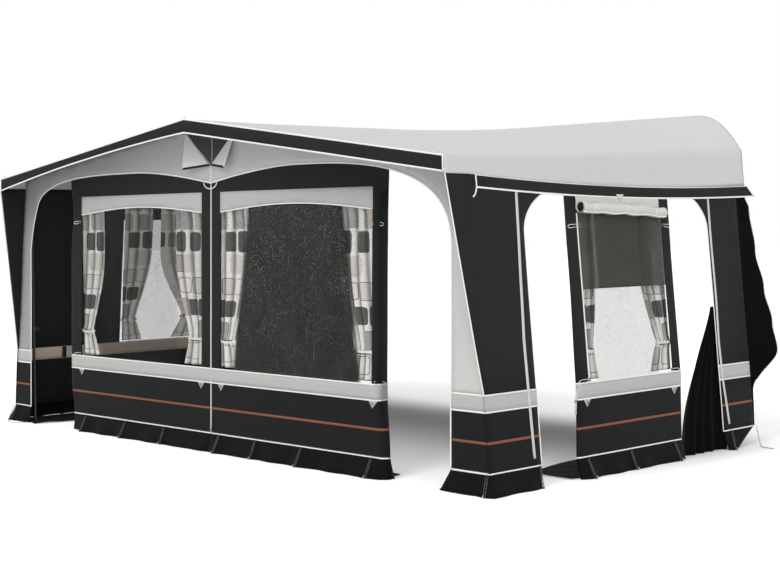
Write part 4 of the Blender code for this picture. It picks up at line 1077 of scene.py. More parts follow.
def wet_film(name, centre, half_width, painted_shade_alpha, clearest, spread=0.0):
    """Clear soft film, darkened in its middle as painted shade of the dark space behind it, with rain drops,
    fine spray and runs down it painted as light specks: painted highlights.
    """
    made = Finish(name, 0.12)
    along, up, _ = made.axes(made.flat)

    def drops(scale, size, strength):
        cells = made.node("ShaderNodeTexVoronoi", values={"Vector": made.flat, "Scale": scale})
        return made.clamped((size - cells) * strength)

    wet = made.clamped(made.noise(2.3, 4.0, 0.6, made.flat) + (up - 1.2) * 0.5)
    runs = made.noise(1.0, 3.0, 0.6, made.stretched((46.0, 2.6, 1.0), made.flat), 0.8)
    patches = made.ramp(made.noise(5.0, 3.0, 0.6, made.flat), (0.42, BLACK), (0.68, WHITE))
    # The drops, spray and runs are light specks and streaks on the film: painted highlights.
    specks = drops(58.0, 0.30, 7.0) * (patches + 0.25) + drops(120.0, 0.34, 6.0) * 0.35
    streaks = made.clamped((runs - 0.62) * 1.4)
    painted_drop_glints = made.clamped(specks * wet * 0.8 + streaks)
    painted_shade_mottle = made.noise(4.0, 4.0, 0.55, made.stretched((1.0, 0.6, 1.0), made.flat), 0.8)
    # Between the curtains the film turns near opaque in its dark colour: painted shade of the dark space
    # behind the window.
    from_middle = (along - centre).abs() - (CURTAIN_TOP - up) * spread
    middle = made.eased(from_middle, half_width + FILM_FADE, half_width - FILM_FADE)
    pane = made.mix(painted_shade_mottle, (0.002, 0.002, 0.002, 1), (0.030, 0.029, 0.027, 1))
    made.colour(made.mix(painted_drop_glints, pane, (0.34, 0.34, 0.33, 1)))
    made.set("Specular IOR Level", FILM_GLOSS)
    made.set("Alpha", made.clamped(painted_drop_glints * 0.6 + middle * painted_shade_alpha + wet * 0.03 + clearest))
    waves = made.noise(6.0, 3.0, 0.5, made.stretched((1.6, 0.5, 1.0), made.flat))
    made.bump(waves * 5.0 + painted_drop_glints * 0.6, 0.35, 0.002)
    return made


film_middle = (WINDOW_INNER + WINDOW_OUTER) / 2
films = {
    "right": wet_film(
        "clear_film_right", film_middle + 0.02, half_width=0.475, painted_shade_alpha=0.94, clearest=0.03, spread=0.15,
    ),
    "left": wet_film("clear_film_left", film_middle, half_width=0.50, painted_shade_alpha=0.08, clearest=0.07),
}

for side, name in ((1, "right"), (-1, "left")):
    def put(x, z, out=0.0, side=side):
        return panel_place(out)(side * x, z)

    def shaped(title, outline, finish, out, holes=(), step=MESH_STEP, thickness=CLOTH, side=side, put=put):
        made = cut_cloth(title, outline, finish, lambda x, z: put(x, z, out), holes, step, thickness)
        if side < 0:
            made.data.flip_normals()
        return made

    panel = hang(
        shaped(f"panel_cloth_{name}", panel_outline, black_cloth, 0.0, [window_hole], PANEL_STEP),
        [f"front_panel_{name}"],
    )
    film_inner, film_outer = WINDOW_INNER + FILM_INSET, WINDOW_OUTER - FILM_INSET
    film_cut = [(film_inner, BAND_TOP + FILM_INSET), (film_outer, BAND_TOP + FILM_INSET)] + [
        (min(max(x, film_inner), film_outer), z - FILM_INSET) for x, z in window_crest
    ]
    window = hang(
        shaped(f"window_film_{name}", film_cut, films[name], 0.0, (), 0.045, FILM_THICKNESS),
        [f"front_film_{name}"],
    )
    pelmet_inner, pelmet_outer = WINDOW_INNER - PELMET_LAP, WINDOW_OUTER + PELMET_LAP
    pelmet_cut = [(pelmet_inner, PELMET_TOP), (pelmet_inner, WINDOW_TOP - PELMET_LAP)]
    pelmet_cut += [(x, z - PELMET_LAP / 2) for x, z in reversed(window_crest)]
    pelmet_cut += [(pelmet_outer, WINDOW_TOP - PELMET_LAP), (pelmet_outer, PELMET_TOP)]
    pelmet = hang(shaped(f"pelmet_{name}", pelmet_cut, grey_cloth, LAYER))
    edge = (ZIP_HALF, PANEL_HALF_SPAN)

    def sewn(title, heights, finish, side=side, put=put, name=name):
        made = strip(f"{title}_{name}", lambda x, z: put(x, z, LAYER), edge, heights, finish)
        if side < 0:
            made.data.flip_normals()
        return made

    waist = hang(sewn("waist_band", BAND, grey_cloth))
    ribbon = hang(sewn("ribbon", STRIPE, orange_cloth))
    tabs = [
        shaped("tab", tab_cut(along), grey_cloth, LAYER, (), 0.02, TAB_THICKNESS) for along in TAB_PLACES
    ]
    tabs = hang(joined(f"eyelet_tabs_{name}", tabs))

    def route(*ends, out=LAYER, side=side):
        return panel_route([(side * x, z) for x, z in ends], out)

    white = bound(f"panel_bindings_{name}", [
        route((edge[0], HEM_HEIGHT), (edge[1], HEM_HEIGHT), out=0.0),
        route((edge[0], BAND_BOTTOM), (edge[1], BAND_BOTTOM)),
        route((edge[0], BAND_TOP), (edge[1], BAND_TOP)),
    ], NARROW_TAPE)
    window_tape = bound(f"window_bindings_{name}", [route(*window_crest, out=LAYER * 1.5)], WINDOW_TAPE)
    flat_area(panel_outline) - flat_area(window_hole)
    flat_area(film_cut)


# Curtains: printed cotton, gathered on hooks above the windows and drawn in by tie-backs.
# The print is plain rounded blocks in off-white, beige and greys, some with a thin dark outline.
CURTAIN_BOTTOM = 0.64
CURTAIN_TIE_HEIGHT = 0.84
CURTAIN_WIDTH = 0.325
CURTAIN_TIE_WIDTH = 0.165
CURTAIN_FOOT_WIDTH = 0.24
CURTAIN_SLOPE = 0.62
CURTAIN_LAP = 0.022
CURTAIN_FOLD_DEPTH = 0.026
CURTAIN_EDGE_INSET = 0.008
CURTAIN_FOLDS = 3
CURTAIN_SEAT = -0.0065
CURTAIN_FULLNESS = 1.15
BLOCK_WIDE = 0.185
BLOCK_TALL = 0.165
ROW_SHIFT = 0.43
OUTLINED = 0.62
TIE_BAND = 0.026
TIE_BULGE = 0.46
TIE_SAG = 0.01
LIGHT_THROUGH = 0.13

curtain_print = Finish("block_print_cotton", 0.85)
print_u, print_v, _ = curtain_print.axes(curtain_print.flat)
block_row = (print_v / BLOCK_TALL).whole()
shifted = print_u / BLOCK_WIDE + block_row * ROW_SHIFT
block_index = curtain_print.node("ShaderNodeCombineXYZ", values={"X": shifted.whole(), "Y": block_row})
chance = curtain_print.node("ShaderNodeTexWhiteNoise", {"noise_dimensions": "2D"}, {"Vector": block_index})
other_chance = curtain_print.node(
    "ShaderNodeTexWhiteNoise", {"noise_dimensions": "3D"}, {"Vector": block_index},
)
local_u = (shifted.part() - 0.5).abs() * 2
local_v = ((print_v / BLOCK_TALL).part() - 0.5).abs() * 2
grow = 0.74 + other_chance * 0.22
squared_u, squared_v = local_u / grow, local_v / (1.68 - grow)
corner_u, corner_v = squared_u * squared_u * squared_u, squared_v * squared_v * squared_v
reach = corner_u * corner_u + corner_v * corner_v
block = reach < 1.0
rim = block * (reach > 0.66) * (other_chance > OUTLINED)
dyes = curtain_print.node("ShaderNodeValToRGB", {"stops": (
    (0.00, (0.72, 0.70, 0.67, 1)), (0.30, (0.46, 0.42, 0.38, 1)), (0.50, (0.34, 0.34, 0.335, 1)),
    (0.64, (0.60, 0.575, 0.54, 1)), (0.85, (0.085, 0.082, 0.078, 1)),
)}, {"Fac": chance})
dyes.socket.node.color_ramp.interpolation = "CONSTANT"
thread = curtain_print.noise(420, 2.0, 0.5)
ground = curtain_print.mix(thread, (0.80, 0.785, 0.76, 1), (0.70, 0.69, 0.665, 1))
printed = curtain_print.mix(block, ground, dyes)
# The fold attribute darkens the print in the fold valleys: painted shade.
painted_fold_shade = curtain_print.node("ShaderNodeAttribute", {"attribute_name": "fold"}, output=2)
outlined = curtain_print.mix(rim, printed, (0.05, 0.048, 0.045, 1))
in_shadow = curtain_print.mix(1.0, outlined, (0.30, 0.29, 0.28, 1), "MULTIPLY")
shaded = curtain_print.mix(painted_fold_shade, outlined, in_shadow)
curtain_print.colour(shaded)
# The print also glows in its own shaded colours: painted light, standing for light through the cotton.
curtain_print.set("Emission Color", shaded)
curtain_print.set("Emission Strength", LIGHT_THROUGH)
curtain_print.bump(thread + curtain_print.noise(14, 3.0) * 3.0, 0.4, 0.0012)
curtain_print.set("Sheen Weight", 0.1)


def curtain(name, wall, edge, direction, width, phase_share, seat=CURTAIN_SEAT):
    """Gathered curtain: even at its hooks, in deep folds below, pinched at the tie and loose under it."""
    tie_width = width * CURTAIN_TIE_WIDTH / CURTAIN_WIDTH
    foot_width = width * CURTAIN_FOOT_WIDTH / CURTAIN_WIDTH

    def spread(height):
        if height > CURTAIN_TIE_HEIGHT:
            fall = (height - CURTAIN_TIE_HEIGHT) / (CURTAIN_TOP - CURTAIN_TIE_HEIGHT)
            opening = math.sin(math.pi / 2 * min(1.0, fall / CURTAIN_SLOPE)) ** 1.25
            return tie_width + (width - tie_width) * opening
        fall = (CURTAIN_TIE_HEIGHT - height) / (CURTAIN_TIE_HEIGHT - CURTAIN_BOTTOM)
        return tie_width + (foot_width - tie_width) * fall

    fold_valley_shade = []

    def place(across, along):
        height = CURTAIN_BOTTOM + (CURTAIN_TOP - CURTAIN_BOTTOM) * along
        seed = Vector((across * 3.0, height * 1.2, edge * 7.0))
        uneven = across + noise.noise(seed) * 0.045 * math.sin(math.pi * across)
        offset = edge + direction * spread(height) * uneven
        turn = CURTAIN_FOLDS * across + phase_share * (1 - along) + noise.noise(seed * 0.6) * 0.35
        wave = (1 - math.cos(2 * math.pi * turn)) / 2
        pinch = 1 - 0.45 * math.exp(-((height - CURTAIN_TIE_HEIGHT) / 0.035) ** 2)
        fold = (0.22 + 0.78 * wave**0.8) * pinch
        depth = CURTAIN_FOLD_DEPTH * (0.25 + 0.75 * ease(1 - along, 0, 0.12)) * fold
        flat = width * CURTAIN_FULLNESS * across
        # Each point's share of painted shade, deepest in the fold valleys.
        fold_valley_shade.append(wave**3 * 0.9)
        return on_wall(wall, offset, height, seat - depth), (flat, height)

    made = sheet_grid(name, 90, 64, place, curtain_print, 0.001)
    made.data.attributes.new("fold", "FLOAT", "POINT").data.foreach_set("value", fold_valley_shade)
    if direction < 0:
        made.data.flip_normals()
    loop = []
    for step in range(17):
        angle = math.pi * step / 16
        across = tie_width * (0.5 - 0.56 * math.cos(angle))
        out = seat - CURTAIN_FOLD_DEPTH * (0.5 - TIE_BULGE * math.sin(angle))
        height = CURTAIN_TIE_HEIGHT - TIE_SAG * math.sin(angle)
        loop.append(on_wall(wall, edge + direction * across, height, out))
    band = tape(f"{name}_tie", [(loop, facing(wall))], curtain_print, TIE_BAND, 0.003)
    return made, band


inner, outer = WINDOW_INNER + CURTAIN_EDGE_INSET, WINDOW_OUTER - CURTAIN_EDGE_INSET
for number, edge, direction, phase in (
    (1, -outer - CURTAIN_LAP, 1, 0.3), (2, -inner, -1, 0.5),
    (3, inner - CURTAIN_LAP, 1, 0.2), (4, outer, -1, 0.4),
):
    body = f"front_curtain_{number}"
    drape, band = curtain(f"curtain_{number}", FRONT, edge, direction, CURTAIN_WIDTH, phase)
    hang(drape, [body], body)
    hang(band, body=body)
    "eave_pole_right" if edge > 0 else "eave_pole_left"


# Side walls: black cloth with a wing towards the front, a header over two doorways, and a rear run.
# The waist band, ribbon and piped hem run on round the corner, and a light zip strip crosses them.
HEADER_TOP = 2.02
INNER_BAND = (0.006, 0.455)
LEFT_INNER_BAND = (0.497, 2.56)
INNER_BAND_OUT = -0.0016
HEM_FACING = -0.0085
HEM_FACING_WIDTH = 0.026
DOOR_FRONT = 0.505
DOOR_REAR = 2.61
DOOR_ARCH_WIDTH = 0.49
DOOR_ARCH_SPRING = 1.62
DOOR_ARCH_HEIGHT = 0.31
WALL_END = 3.03
WALL_RUNS = ((0, DOOR_FRONT), (DOOR_REAR, WALL_END))
ZIP_STRIP = 0.026
ZIP_STRIP_FRONT = ((0.452, 1.90), (0.448, 1.86), (0.430, 1.19), (0.418, 0.94), (0.424, 0.55), (0.437, 0.188))
ZIP_STRIP_REAR = ((2.639, 1.90), (2.641, 1.85), (2.646, 1.10), (2.636, 0.81), (2.652, 0.50), (2.69, 0.185))
SEAM_TAPE = 0.004

zip_strip = woven("zip_strip", (0.66, 0.66, 0.65, 1), (0.56, 0.56, 0.55, 1), 0.6, 2.0)


def door_arch(edge, direction, steps=20):
    turns = [math.pi / 2 * step / steps for step in range(steps + 1)]
    return [
        (edge + direction * DOOR_ARCH_WIDTH * (1 - math.cos(turn)),
         DOOR_ARCH_SPRING + DOOR_ARCH_HEIGHT * math.sin(turn))
        for turn in turns
    ]


def side_place(out=0.0):
    return lambda along, height: on_wall(SIDE, along, height, out)


def of_wall(side, piece):
    """The right side wall's piece, or its mirror image for the left one."""
    return piece if side == "right" else mirror_piece(piece, piece.name.replace("_right", "_left"))


doorway = [(DOOR_FRONT, HEM_HEIGHT)] + door_arch(DOOR_FRONT, 1)
doorway += list(reversed(door_arch(DOOR_REAR, -1))) + [(DOOR_REAR, HEM_HEIGHT)]
wing_edge = -CANOPY_REACH + 0.002
wing_top = CORNER_HEIGHT - FASCIA_TALL
side_outline = [(0, HEM_HEIGHT)] + doorway + [
    (WALL_END, HEM_HEIGHT), (WALL_END, HEADER_TOP), (wing_edge, HEADER_TOP), (wing_edge, wing_top),
    (0, BAND_TOP),
]
side_right = cut_cloth("side_wall_cloth_right", side_outline, black_cloth, side_place(), (), 0.045)
side_left = mirror_piece(side_right, "side_wall_cloth_left")
sewn_bands, sewn_stripes = [], []
for ends in WALL_RUNS:
    sewn_bands.append(strip("band", side_place(LAYER), ends, BAND, grey_cloth))
    sewn_stripes.append(strip("stripe", side_place(LAYER), ends, STRIPE, orange_cloth))
side_bands, side_stripes = joined("side_bands_right", sewn_bands), joined("side_stripes_right", sewn_stripes)
side_routes = [
    wall_route(SIDE, [(wing_edge, HEADER_TOP), (wing_edge, wing_top), (0, BAND_TOP)], PIPE_OUT),
    wall_route(SIDE, doorway, PIPE_OUT),
]
for start, end in WALL_RUNS:
    for height, out in PIPED_HEIGHTS:
        side_routes.append(wall_route(SIDE, [(start, height), (end, height)], out))
seam_routes = [
    wall_route(SIDE, [(0.0, low), (0.0, high)], LAYER / 2)
    for low, high in (
        (HEM_HEIGHT, STRIPE_HEIGHT - STRIPE_WIDTH),
        (STRIPE_HEIGHT + STRIPE_WIDTH, BAND_BOTTOM),
        (BAND_TOP, HEADER_TOP),
    )
]
strip_routes = [wall_route(SIDE, list(ends), LAYER * 2) for ends in (ZIP_STRIP_FRONT, ZIP_STRIP_REAR)]
inner_bands = strip("side_inner_bands_right", side_place(INNER_BAND_OUT), INNER_BAND, BAND, inner_band_painted_light)
facing_routes = {
    "right": [wall_route(SIDE, [(0.01, HEM_HEIGHT), (DOOR_FRONT - 0.004, HEM_HEIGHT)], HEM_FACING)],
}
facing_routes["left"] = facing_routes["right"] + [
    wall_route(SIDE, [(DOOR_FRONT - 0.02, HEM_HEIGHT), (DOOR_REAR, HEM_HEIGHT)], HEM_FACING + INNER_LAYER),
]
for side, cloth in (("right", side_right), ("left", side_left)):
    hang(cloth, [f"side_wall_{side}"])
    zips, seams, facings = (
        of_side(side, routes) for routes in (strip_routes, seam_routes, facing_routes[side])
    )
    own = [
        hang(of_wall(side, side_bands)),
        hang(of_wall(side, side_stripes)),
        bound(f"side_bindings_{side}", of_side(side, side_routes), NARROW_TAPE),
        hang(tape(f"side_zip_strips_{side}", zips, zip_strip, ZIP_STRIP, 0.002)),
        hang(tape(f"corner_seam_{side}", seams, black_cloth, SEAM_TAPE, 0.003)),
        hang(of_wall(side, inner_bands)),
        hang(tape(f"side_hem_facing_{side}", facings, black_cloth, HEM_FACING_WIDTH, 0.003)),
    ]
    side_area = flat_area(side_outline)
    side_run = WALL_END + 2 * HEADER_TOP
    side_area / side_run


# Rear returns: black strips that close the side wall onto the caravan's rail, gathered in soft folds.
# Their rear edge follows the caravan's bulging side, and they are tucked in below its floor.
RAIL_PROFILE = (
    (2.613, 1.900), (2.647, 1.785), (2.702, 1.470), (2.780, 1.176), (2.852, 0.924),
    (2.897, 0.714), (2.880, 0.525), (2.808, 0.357), (2.752, 0.118),
)
RETURN_FOLDS = 3
RETURN_FOLD_DEPTH = 0.012
RETURN_FOOT = 0.565
RETURN_TUCK = 0.15
RETURN_HANG = 0.16
RETURN_GAP = 0.003
BEAD_WIDTH = 0.008

# A much darker copy of the black cloth, for the rear returns, the loose door cloth and the flaps on the
# ground: painted shade.
painted_shade_cloth = woven("door_cloth", (0.0034, 0.0034, 0.0034, 1), (0.002, 0.002, 0.002, 1), 0.8, gloss=0.05)


def rail_offset(height):
    if height >= RAIL_PROFILE[0][1]:
        return RAIL_PROFILE[0][0]
    for (upper_x, upper_z), (lower_x, lower_z) in zip(RAIL_PROFILE, RAIL_PROFILE[1:]):
        if height >= lower_z:
            share = ease(height, lower_z, upper_z)
            return lower_x + (upper_x - lower_x) * share
    return RAIL_PROFILE[-1][0]


def return_place(across, along):
    height = HEM_HEIGHT + (HEADER_TOP - HEM_HEIGHT) * along
    start = on_wall(SIDE, WALL_END + 0.001, height)
    tuck = drop_edge_height(DEPTH) - VALANCE_HEIGHT
    under = ease(height, tuck - VALANCE_HEIGHT, tuck)
    out = rail_offset(height) * (1 - under) + side_offset(height) * under
    rail = Vector((out, DEPTH - POLE_SETBACK - RETURN_GAP, height))
    reach = across * (0.12 + 0.88 * ease(height, RETURN_FOOT - RETURN_TUCK, RETURN_FOOT + RETURN_TUCK))
    fold = math.sin(math.pi * across) * math.sin(2 * math.pi * RETURN_FOLDS * across + height * 3.0)
    pulled_in = Vector((-RETURN_FOLD_DEPTH * abs(fold), 0, 0))
    return start.lerp(rail, reach) + pulled_in, (across * RETURN_HANG, height)


returns = sheet_grid("rear_return_cloth_right", 18, 60, return_place, painted_shade_cloth)
other_returns = mirror_piece(returns, "rear_return_cloth_left")
for cloth, side in ((returns, "right"), (other_returns, "left")):
    hang(cloth, [f"rear_return_{side}"])
behind = DEPTH - POLE_SETBACK + BEAD_WIDTH / 2 + 0.0015
crease, crease_height = crease_point(DEPTH)
bead_half = [
    Vector((crease * i / 60, behind, roof_height(min(crease * i / 60, EAVE_HALF), DEPTH))) for i in range(61)
]
for step in range(1, 61):
    height = crease_height + (RETURN_FOOT - RETURN_TUCK / 2 - crease_height) * step / 60
    share = ease(height, RAIL_PROFILE[1][1], crease_height)
    edge = return_place(1.0, (height - HEM_HEIGHT) / (HEADER_TOP - HEM_HEIGHT))[0]
    edge.y += behind - (DEPTH - POLE_SETBACK - RETURN_GAP)
    bead_half.append(edge.lerp(Vector((crease, behind, height)), share))
bead_points = [Vector((-p.x, p.y, p.z)) for p in reversed(bead_half[1:])] + bead_half
hang(tape("rail_cord", [(bead_points, Vector((0, 1, 0)))], white_tape, BEAD_WIDTH, BEAD_WIDTH),
     ["rail_bead"])


# Side window panels: on the right the panel stands free between its two open doorways.
# On the left it is zipped shut. Each has a clear film window, and the right one a fly screen.
SIDE_PANEL_FRONT = 0.935
SIDE_PANEL_REAR = 2.12
SIDE_PANEL_FOOT_SHIFT = 0.05
SIDE_WINDOW_FRONT = 1.06
SIDE_WINDOW_REAR = 2.02
SIDE_WINDOW_TOP = 1.75
SCREEN_BOTTOM = 1.24
SIDE_TAB_PLACES = (1.035, 2.04)
SCREEN_LAYER = -0.0042
SCREEN_SHIFT = 0.045
SIDE_CURL_RADIUS = 0.05
SIDE_CURL = 0.05
SCREEN_LAP = 0.0175
SIDE_CURTAIN_BACK = 0.0012


def rectangle(low, high, bottom, top):
    return [(low, bottom), (high, bottom), (high, top), (low, top)]


def turned_over(piece, name):
    """A piece's mirror image, which takes its place."""
    made = mirror_piece(piece, f"{name}_turned")
    bpy.data.objects.remove(piece, do_unlink=True)
    made.name = name
    return made


def panel_foot(height):
    return -SIDE_PANEL_FOOT_SHIFT * max(BAND_TOP - height, 0) / (BAND_TOP - HEM_HEIGHT)


def side_panel_place(out=0.0, shift=1.0):
    def place(along, height):
        easing = ease(1.5 - height, 0.0, 0.9) * shift
        along = along + panel_foot(height) * shift
        start = SIDE_PANEL_FRONT + panel_foot(height) + SIDE_CURL
        x, stand = turned_in(along, -start, SIDE_CURL_RADIUS, out, easing)
        return on_wall(SIDE, x, height, INNER_LAYER + stand)
    return place


side_hole = rectangle(SIDE_WINDOW_FRONT, SIDE_WINDOW_REAR, BAND_TOP, SIDE_WINDOW_TOP)
side_film_cut = rectangle(
    SIDE_WINDOW_FRONT + FILM_INSET, SIDE_WINDOW_REAR - FILM_INSET, BAND_TOP + FILM_INSET,
    SIDE_WINDOW_TOP - FILM_INSET,
)
side_film = wet_film("clear_side_film", 1.5, half_width=0.36, painted_shade_alpha=0.16, clearest=0.06)
panel_top = HEADER_TOP - PANEL_TUCK
for side, low_end, high_end in (
    ("right", SIDE_PANEL_FRONT, SIDE_PANEL_REAR), ("left", DOOR_FRONT - PANEL_TUCK, DOOR_REAR + PANEL_TUCK),
):
    free = 1.0 if side == "right" else 0.0
    flush, raised = side_panel_place(0.0, free), side_panel_place(LAYER, free)
    ends = (low_end, high_end)
    outline = rectangle(low_end, high_end, HEM_HEIGHT, panel_top)
    cloth = cut_cloth(f"side_panel_cloth_{side}", outline, black_cloth, flush, [side_hole], PANEL_STEP)
    clear = cut_cloth(f"side_film_sheet_{side}", side_film_cut, side_film, flush, (), 0.03, FILM_THICKNESS)
    band = strip(f"side_waist_band_{side}", raised, ends, BAND, grey_cloth)
    stripe = strip(f"side_ribbon_{side}", raised, ends, STRIPE, orange_cloth)
    tabs = joined(f"side_eyelet_tabs_{side}", [
        cut_cloth("tab", tab_cut(along), grey_cloth, raised, (), 0.02, TAB_THICKNESS)
        for along in SIDE_TAB_PLACES
    ])
    routes = [
        cloth_route(side_panel_place(out, free), [(low_end, height), (high_end, height)], SIDE)
        for height, out in PIPED_HEIGHTS
    ]
    rim = [cloth_route(raised, [(SIDE_WINDOW_FRONT, BAND_TOP), (SIDE_WINDOW_FRONT, SIDE_WINDOW_TOP)], SIDE)]
    if side == "left":
        cloth, clear, band, stripe, tabs = [
            turned_over(piece, piece.name) for piece in (cloth, clear, band, stripe, tabs)
        ]
    hang(cloth, [f"side_panel_{side}"])
    hang(clear, [f"side_film_{side}"])
    own = [hang(band), hang(stripe), hang(tabs)]
    if side == "left":
        lining = strip("lining", side_panel_place(INNER_BAND_OUT, free), LEFT_INNER_BAND, BAND, inner_band_painted_light)
        own.append(hang(turned_over(lining, "side_panel_inner_band")))
    own += [
        bound(f"side_panel_bindings_{side}", of_side(side, routes), NARROW_TAPE),
        bound(f"side_window_binding_{side}", of_side(side, rim), 0.014, 0.003),
    ]
    width, tall = high_end - low_end, panel_top - HEM_HEIGHT
    width * tall - flat_area(side_hole)

screen_net = Finish("fly_screen", 0.85)
_, screen_y, _ = screen_net.axes(screen_net.place)
SCREEN_MIDDLE = (SIDE_WINDOW_FRONT + SIDE_WINDOW_REAR) / 2 - POLE_SETBACK - SCREEN_SHIFT
# The screen is more opaque in its middle than at its ends: painted shade of the dark space behind it.
screen_net.set("Alpha", screen_net.eased((screen_y - SCREEN_MIDDLE).abs(), 0.22, 0.26, 0.97, 0.70))
screen_net.colour(screen_net.mix(screen_net.noise(3.0), (0.125, 0.117, 0.102, 1), (0.108, 0.100, 0.088, 1)))
screen_net.bump(screen_net.noise(9.0), 0.2, 0.0008)
screen_start, screen_end = SIDE_WINDOW_FRONT - SCREEN_LAP, SIDE_WINDOW_REAR + SCREEN_LAP
screen = cut_cloth(
    "fly_screen", rectangle(screen_start, screen_end, SCREEN_BOTTOM, CURTAIN_TOP), screen_net,
    side_place(SCREEN_LAYER), (), 0.04, FILM_THICKNESS,
)
hang(screen, ["side_mesh_screen"])
for name, edge, direction, share, left_share in (
    ("front", SIDE_WINDOW_FRONT + CURTAIN_EDGE_INSET, 1, 0.5, 0.95),
    ("rear", SIDE_WINDOW_REAR + CURTAIN_LAP, -1, 1.0, 1.75),
):
    body = f"side_curtain_{name}"
    drape, band = curtain(
        f"side_window_curtain_{name}", SIDE, edge, direction, CURTAIN_WIDTH * share, 0.3,
        CURTAIN_SEAT - SIDE_CURTAIN_BACK,
    )
    hang(drape, [body], body)
    hang(band, body=body)
    curtain_cut = (CURTAIN_WIDTH * share * CURTAIN_FULLNESS, CURTAIN_TOP - CURTAIN_BOTTOM)
    pair = curtain(f"other_{name}", SIDE, edge, direction, CURTAIN_WIDTH * left_share, 0.3)
    left_drape, left_band = (
        hang(turned_over(piece, f"left_window_curtain_{name}{end}"))
        for piece, end in zip(pair, ("", "_tie"))
    )
    curtain_cut = (CURTAIN_WIDTH * left_share * CURTAIN_FULLNESS, CURTAIN_TOP - CURTAIN_BOTTOM)


# Outer blind: off-white cloth over the right side window, rolled up and tied under the valance.
# Its flat top stays sewn to the panel, its roll shows as a coil at the end, and its hem is piped.
BLIND_TOP = 1.865
BLIND_RADIUS = 0.040
BLIND_PITCH = 0.0075
BLIND_TURNS = 1.6
BLIND_OVERLAP = 0.008
BLIND_END_SAG = 0.012
CORE_LENGTH = 0.06
CORE_SHARE = 0.80
BLIND_SEAT = 0.0012
BLIND_TILT = 0.024
BLIND_FLAP_SHARE = 0.14
BLIND_TIES = (0.12, 0.5, 0.86)
BLIND_START = SIDE_WINDOW_FRONT - BLIND_OVERLAP
BLIND_RUN = SIDE_WINDOW_REAR - BLIND_OVERLAP * 3 - BLIND_START
BLIND_TAB = (0.045, 0.012, 0.036)
BLIND_THICKNESS = 0.0014
TIE_WIDTH = 0.007

blind_cloth = woven("off_white_blind", (0.68, 0.665, 0.64, 1), (0.56, 0.55, 0.53, 1), 0.6)


def blind_middle(across):
    tied = sum(math.exp(-((across - tie) / 0.05) ** 2) for tie in BLIND_TIES)
    sag = 0.006 * math.sin(4 * math.pi * across) ** 2
    height = BLIND_TOP - 2 * BLIND_RADIUS - BLIND_TILT * across - sag - BLIND_END_SAG * ease(across, 0.7, 1.0)
    bulge = 1 + 0.10 * noise.noise(Vector((across * 5.0, 3.0, 1.0))) - 0.14 * tied
    return height, BLIND_RADIUS * bulge


def blind_point(across, angle, radius_share=1.0, lift=0.0):
    height, radius = blind_middle(across)
    wrinkle = noise.noise(Vector((across * 14.0, angle * 0.8, 2.0))) * 0.0022
    reach = radius * radius_share + wrinkle + lift
    out = BLIND_SEAT + BLIND_RADIUS - reach * math.cos(angle)
    return on_wall(SIDE, BLIND_START + BLIND_RUN * across, height - reach * math.sin(angle), out)


def blind_place(across, along):
    length = BLIND_RUN * across
    if along > 1 - BLIND_FLAP_SHARE:
        share = (along - 1 + BLIND_FLAP_SHARE) / BLIND_FLAP_SHARE
        height, radius = blind_middle(across)
        puff = noise.noise(Vector((across * 9.0, share * 2.0, 5.0))) * 0.004 + 0.004
        out = BLIND_SEAT + (BLIND_RADIUS - radius) * (1 - share) + puff * math.sin(math.pi * share)
        height += (BLIND_TOP - height) * share
        return on_wall(SIDE, BLIND_START + length, height, out), (length, 1.0 + share * 0.09)
    wound = 1 - along / (1 - BLIND_FLAP_SHARE)
    angle = 2 * math.pi * BLIND_TURNS * wound
    radius_share = 1 - BLIND_PITCH / BLIND_RADIUS * BLIND_TURNS * wound
    return blind_point(across, angle, radius_share), (length, 1 - wound * 0.45)


blind = sheet_grid("rolled_blind", 72, 110, blind_place, blind_cloth, BLIND_THICKNESS)
hang(blind, ["side_blind"])
hem_angle = math.radians(128)
blind_routes = [([blind_point(i / 40, hem_angle, 1.0, 0.001) for i in range(41)], facing(SIDE))]
blind_edge = bound("blind_hem_binding", blind_routes, 0.008)
tie_routes = [
    ([blind_point(share, math.radians(70 + 11 * i), 1.0, 0.003) for i in range(13)], facing(SIDE))
    for share in BLIND_TIES
]
blind_ties = bound("blind_ties", tie_routes, TIE_WIDTH, 0.0016)


# A short black sheet rolled inside the coil's open end: painted shade of its dark hollow.
def core_place(across, along):
    start_share = (CORE_LENGTH * across - 0.001) / (SIDE_WINDOW_REAR - SIDE_WINDOW_FRONT)
    share = CORE_SHARE * min(1.0, 8 * across + 0.02) if across < 0.5 else CORE_SHARE
    return blind_point(max(start_share, 0.0), 2 * math.pi * along, share), (across * CORE_LENGTH, along * 0.2)


blind_painted_shade_core = hang(sheet_grid("blind_painted_shade_core", 8, 24, core_place, black_cloth, 0.0008))
tab_middle = (SIDE_WINDOW_FRONT + SIDE_WINDOW_REAR) / 2
tab_half, tab_rise, tab_fall = BLIND_TAB
blind_tab = cut_cloth("blind_tab", [
    (tab_middle - tab_half, BLIND_TOP + tab_rise), (tab_middle, BLIND_TOP - tab_fall),
    (tab_middle + tab_half, BLIND_TOP + tab_rise),
], blind_cloth, side_place(0.011), (), 0.012, 0.001)
hang(blind_tab)


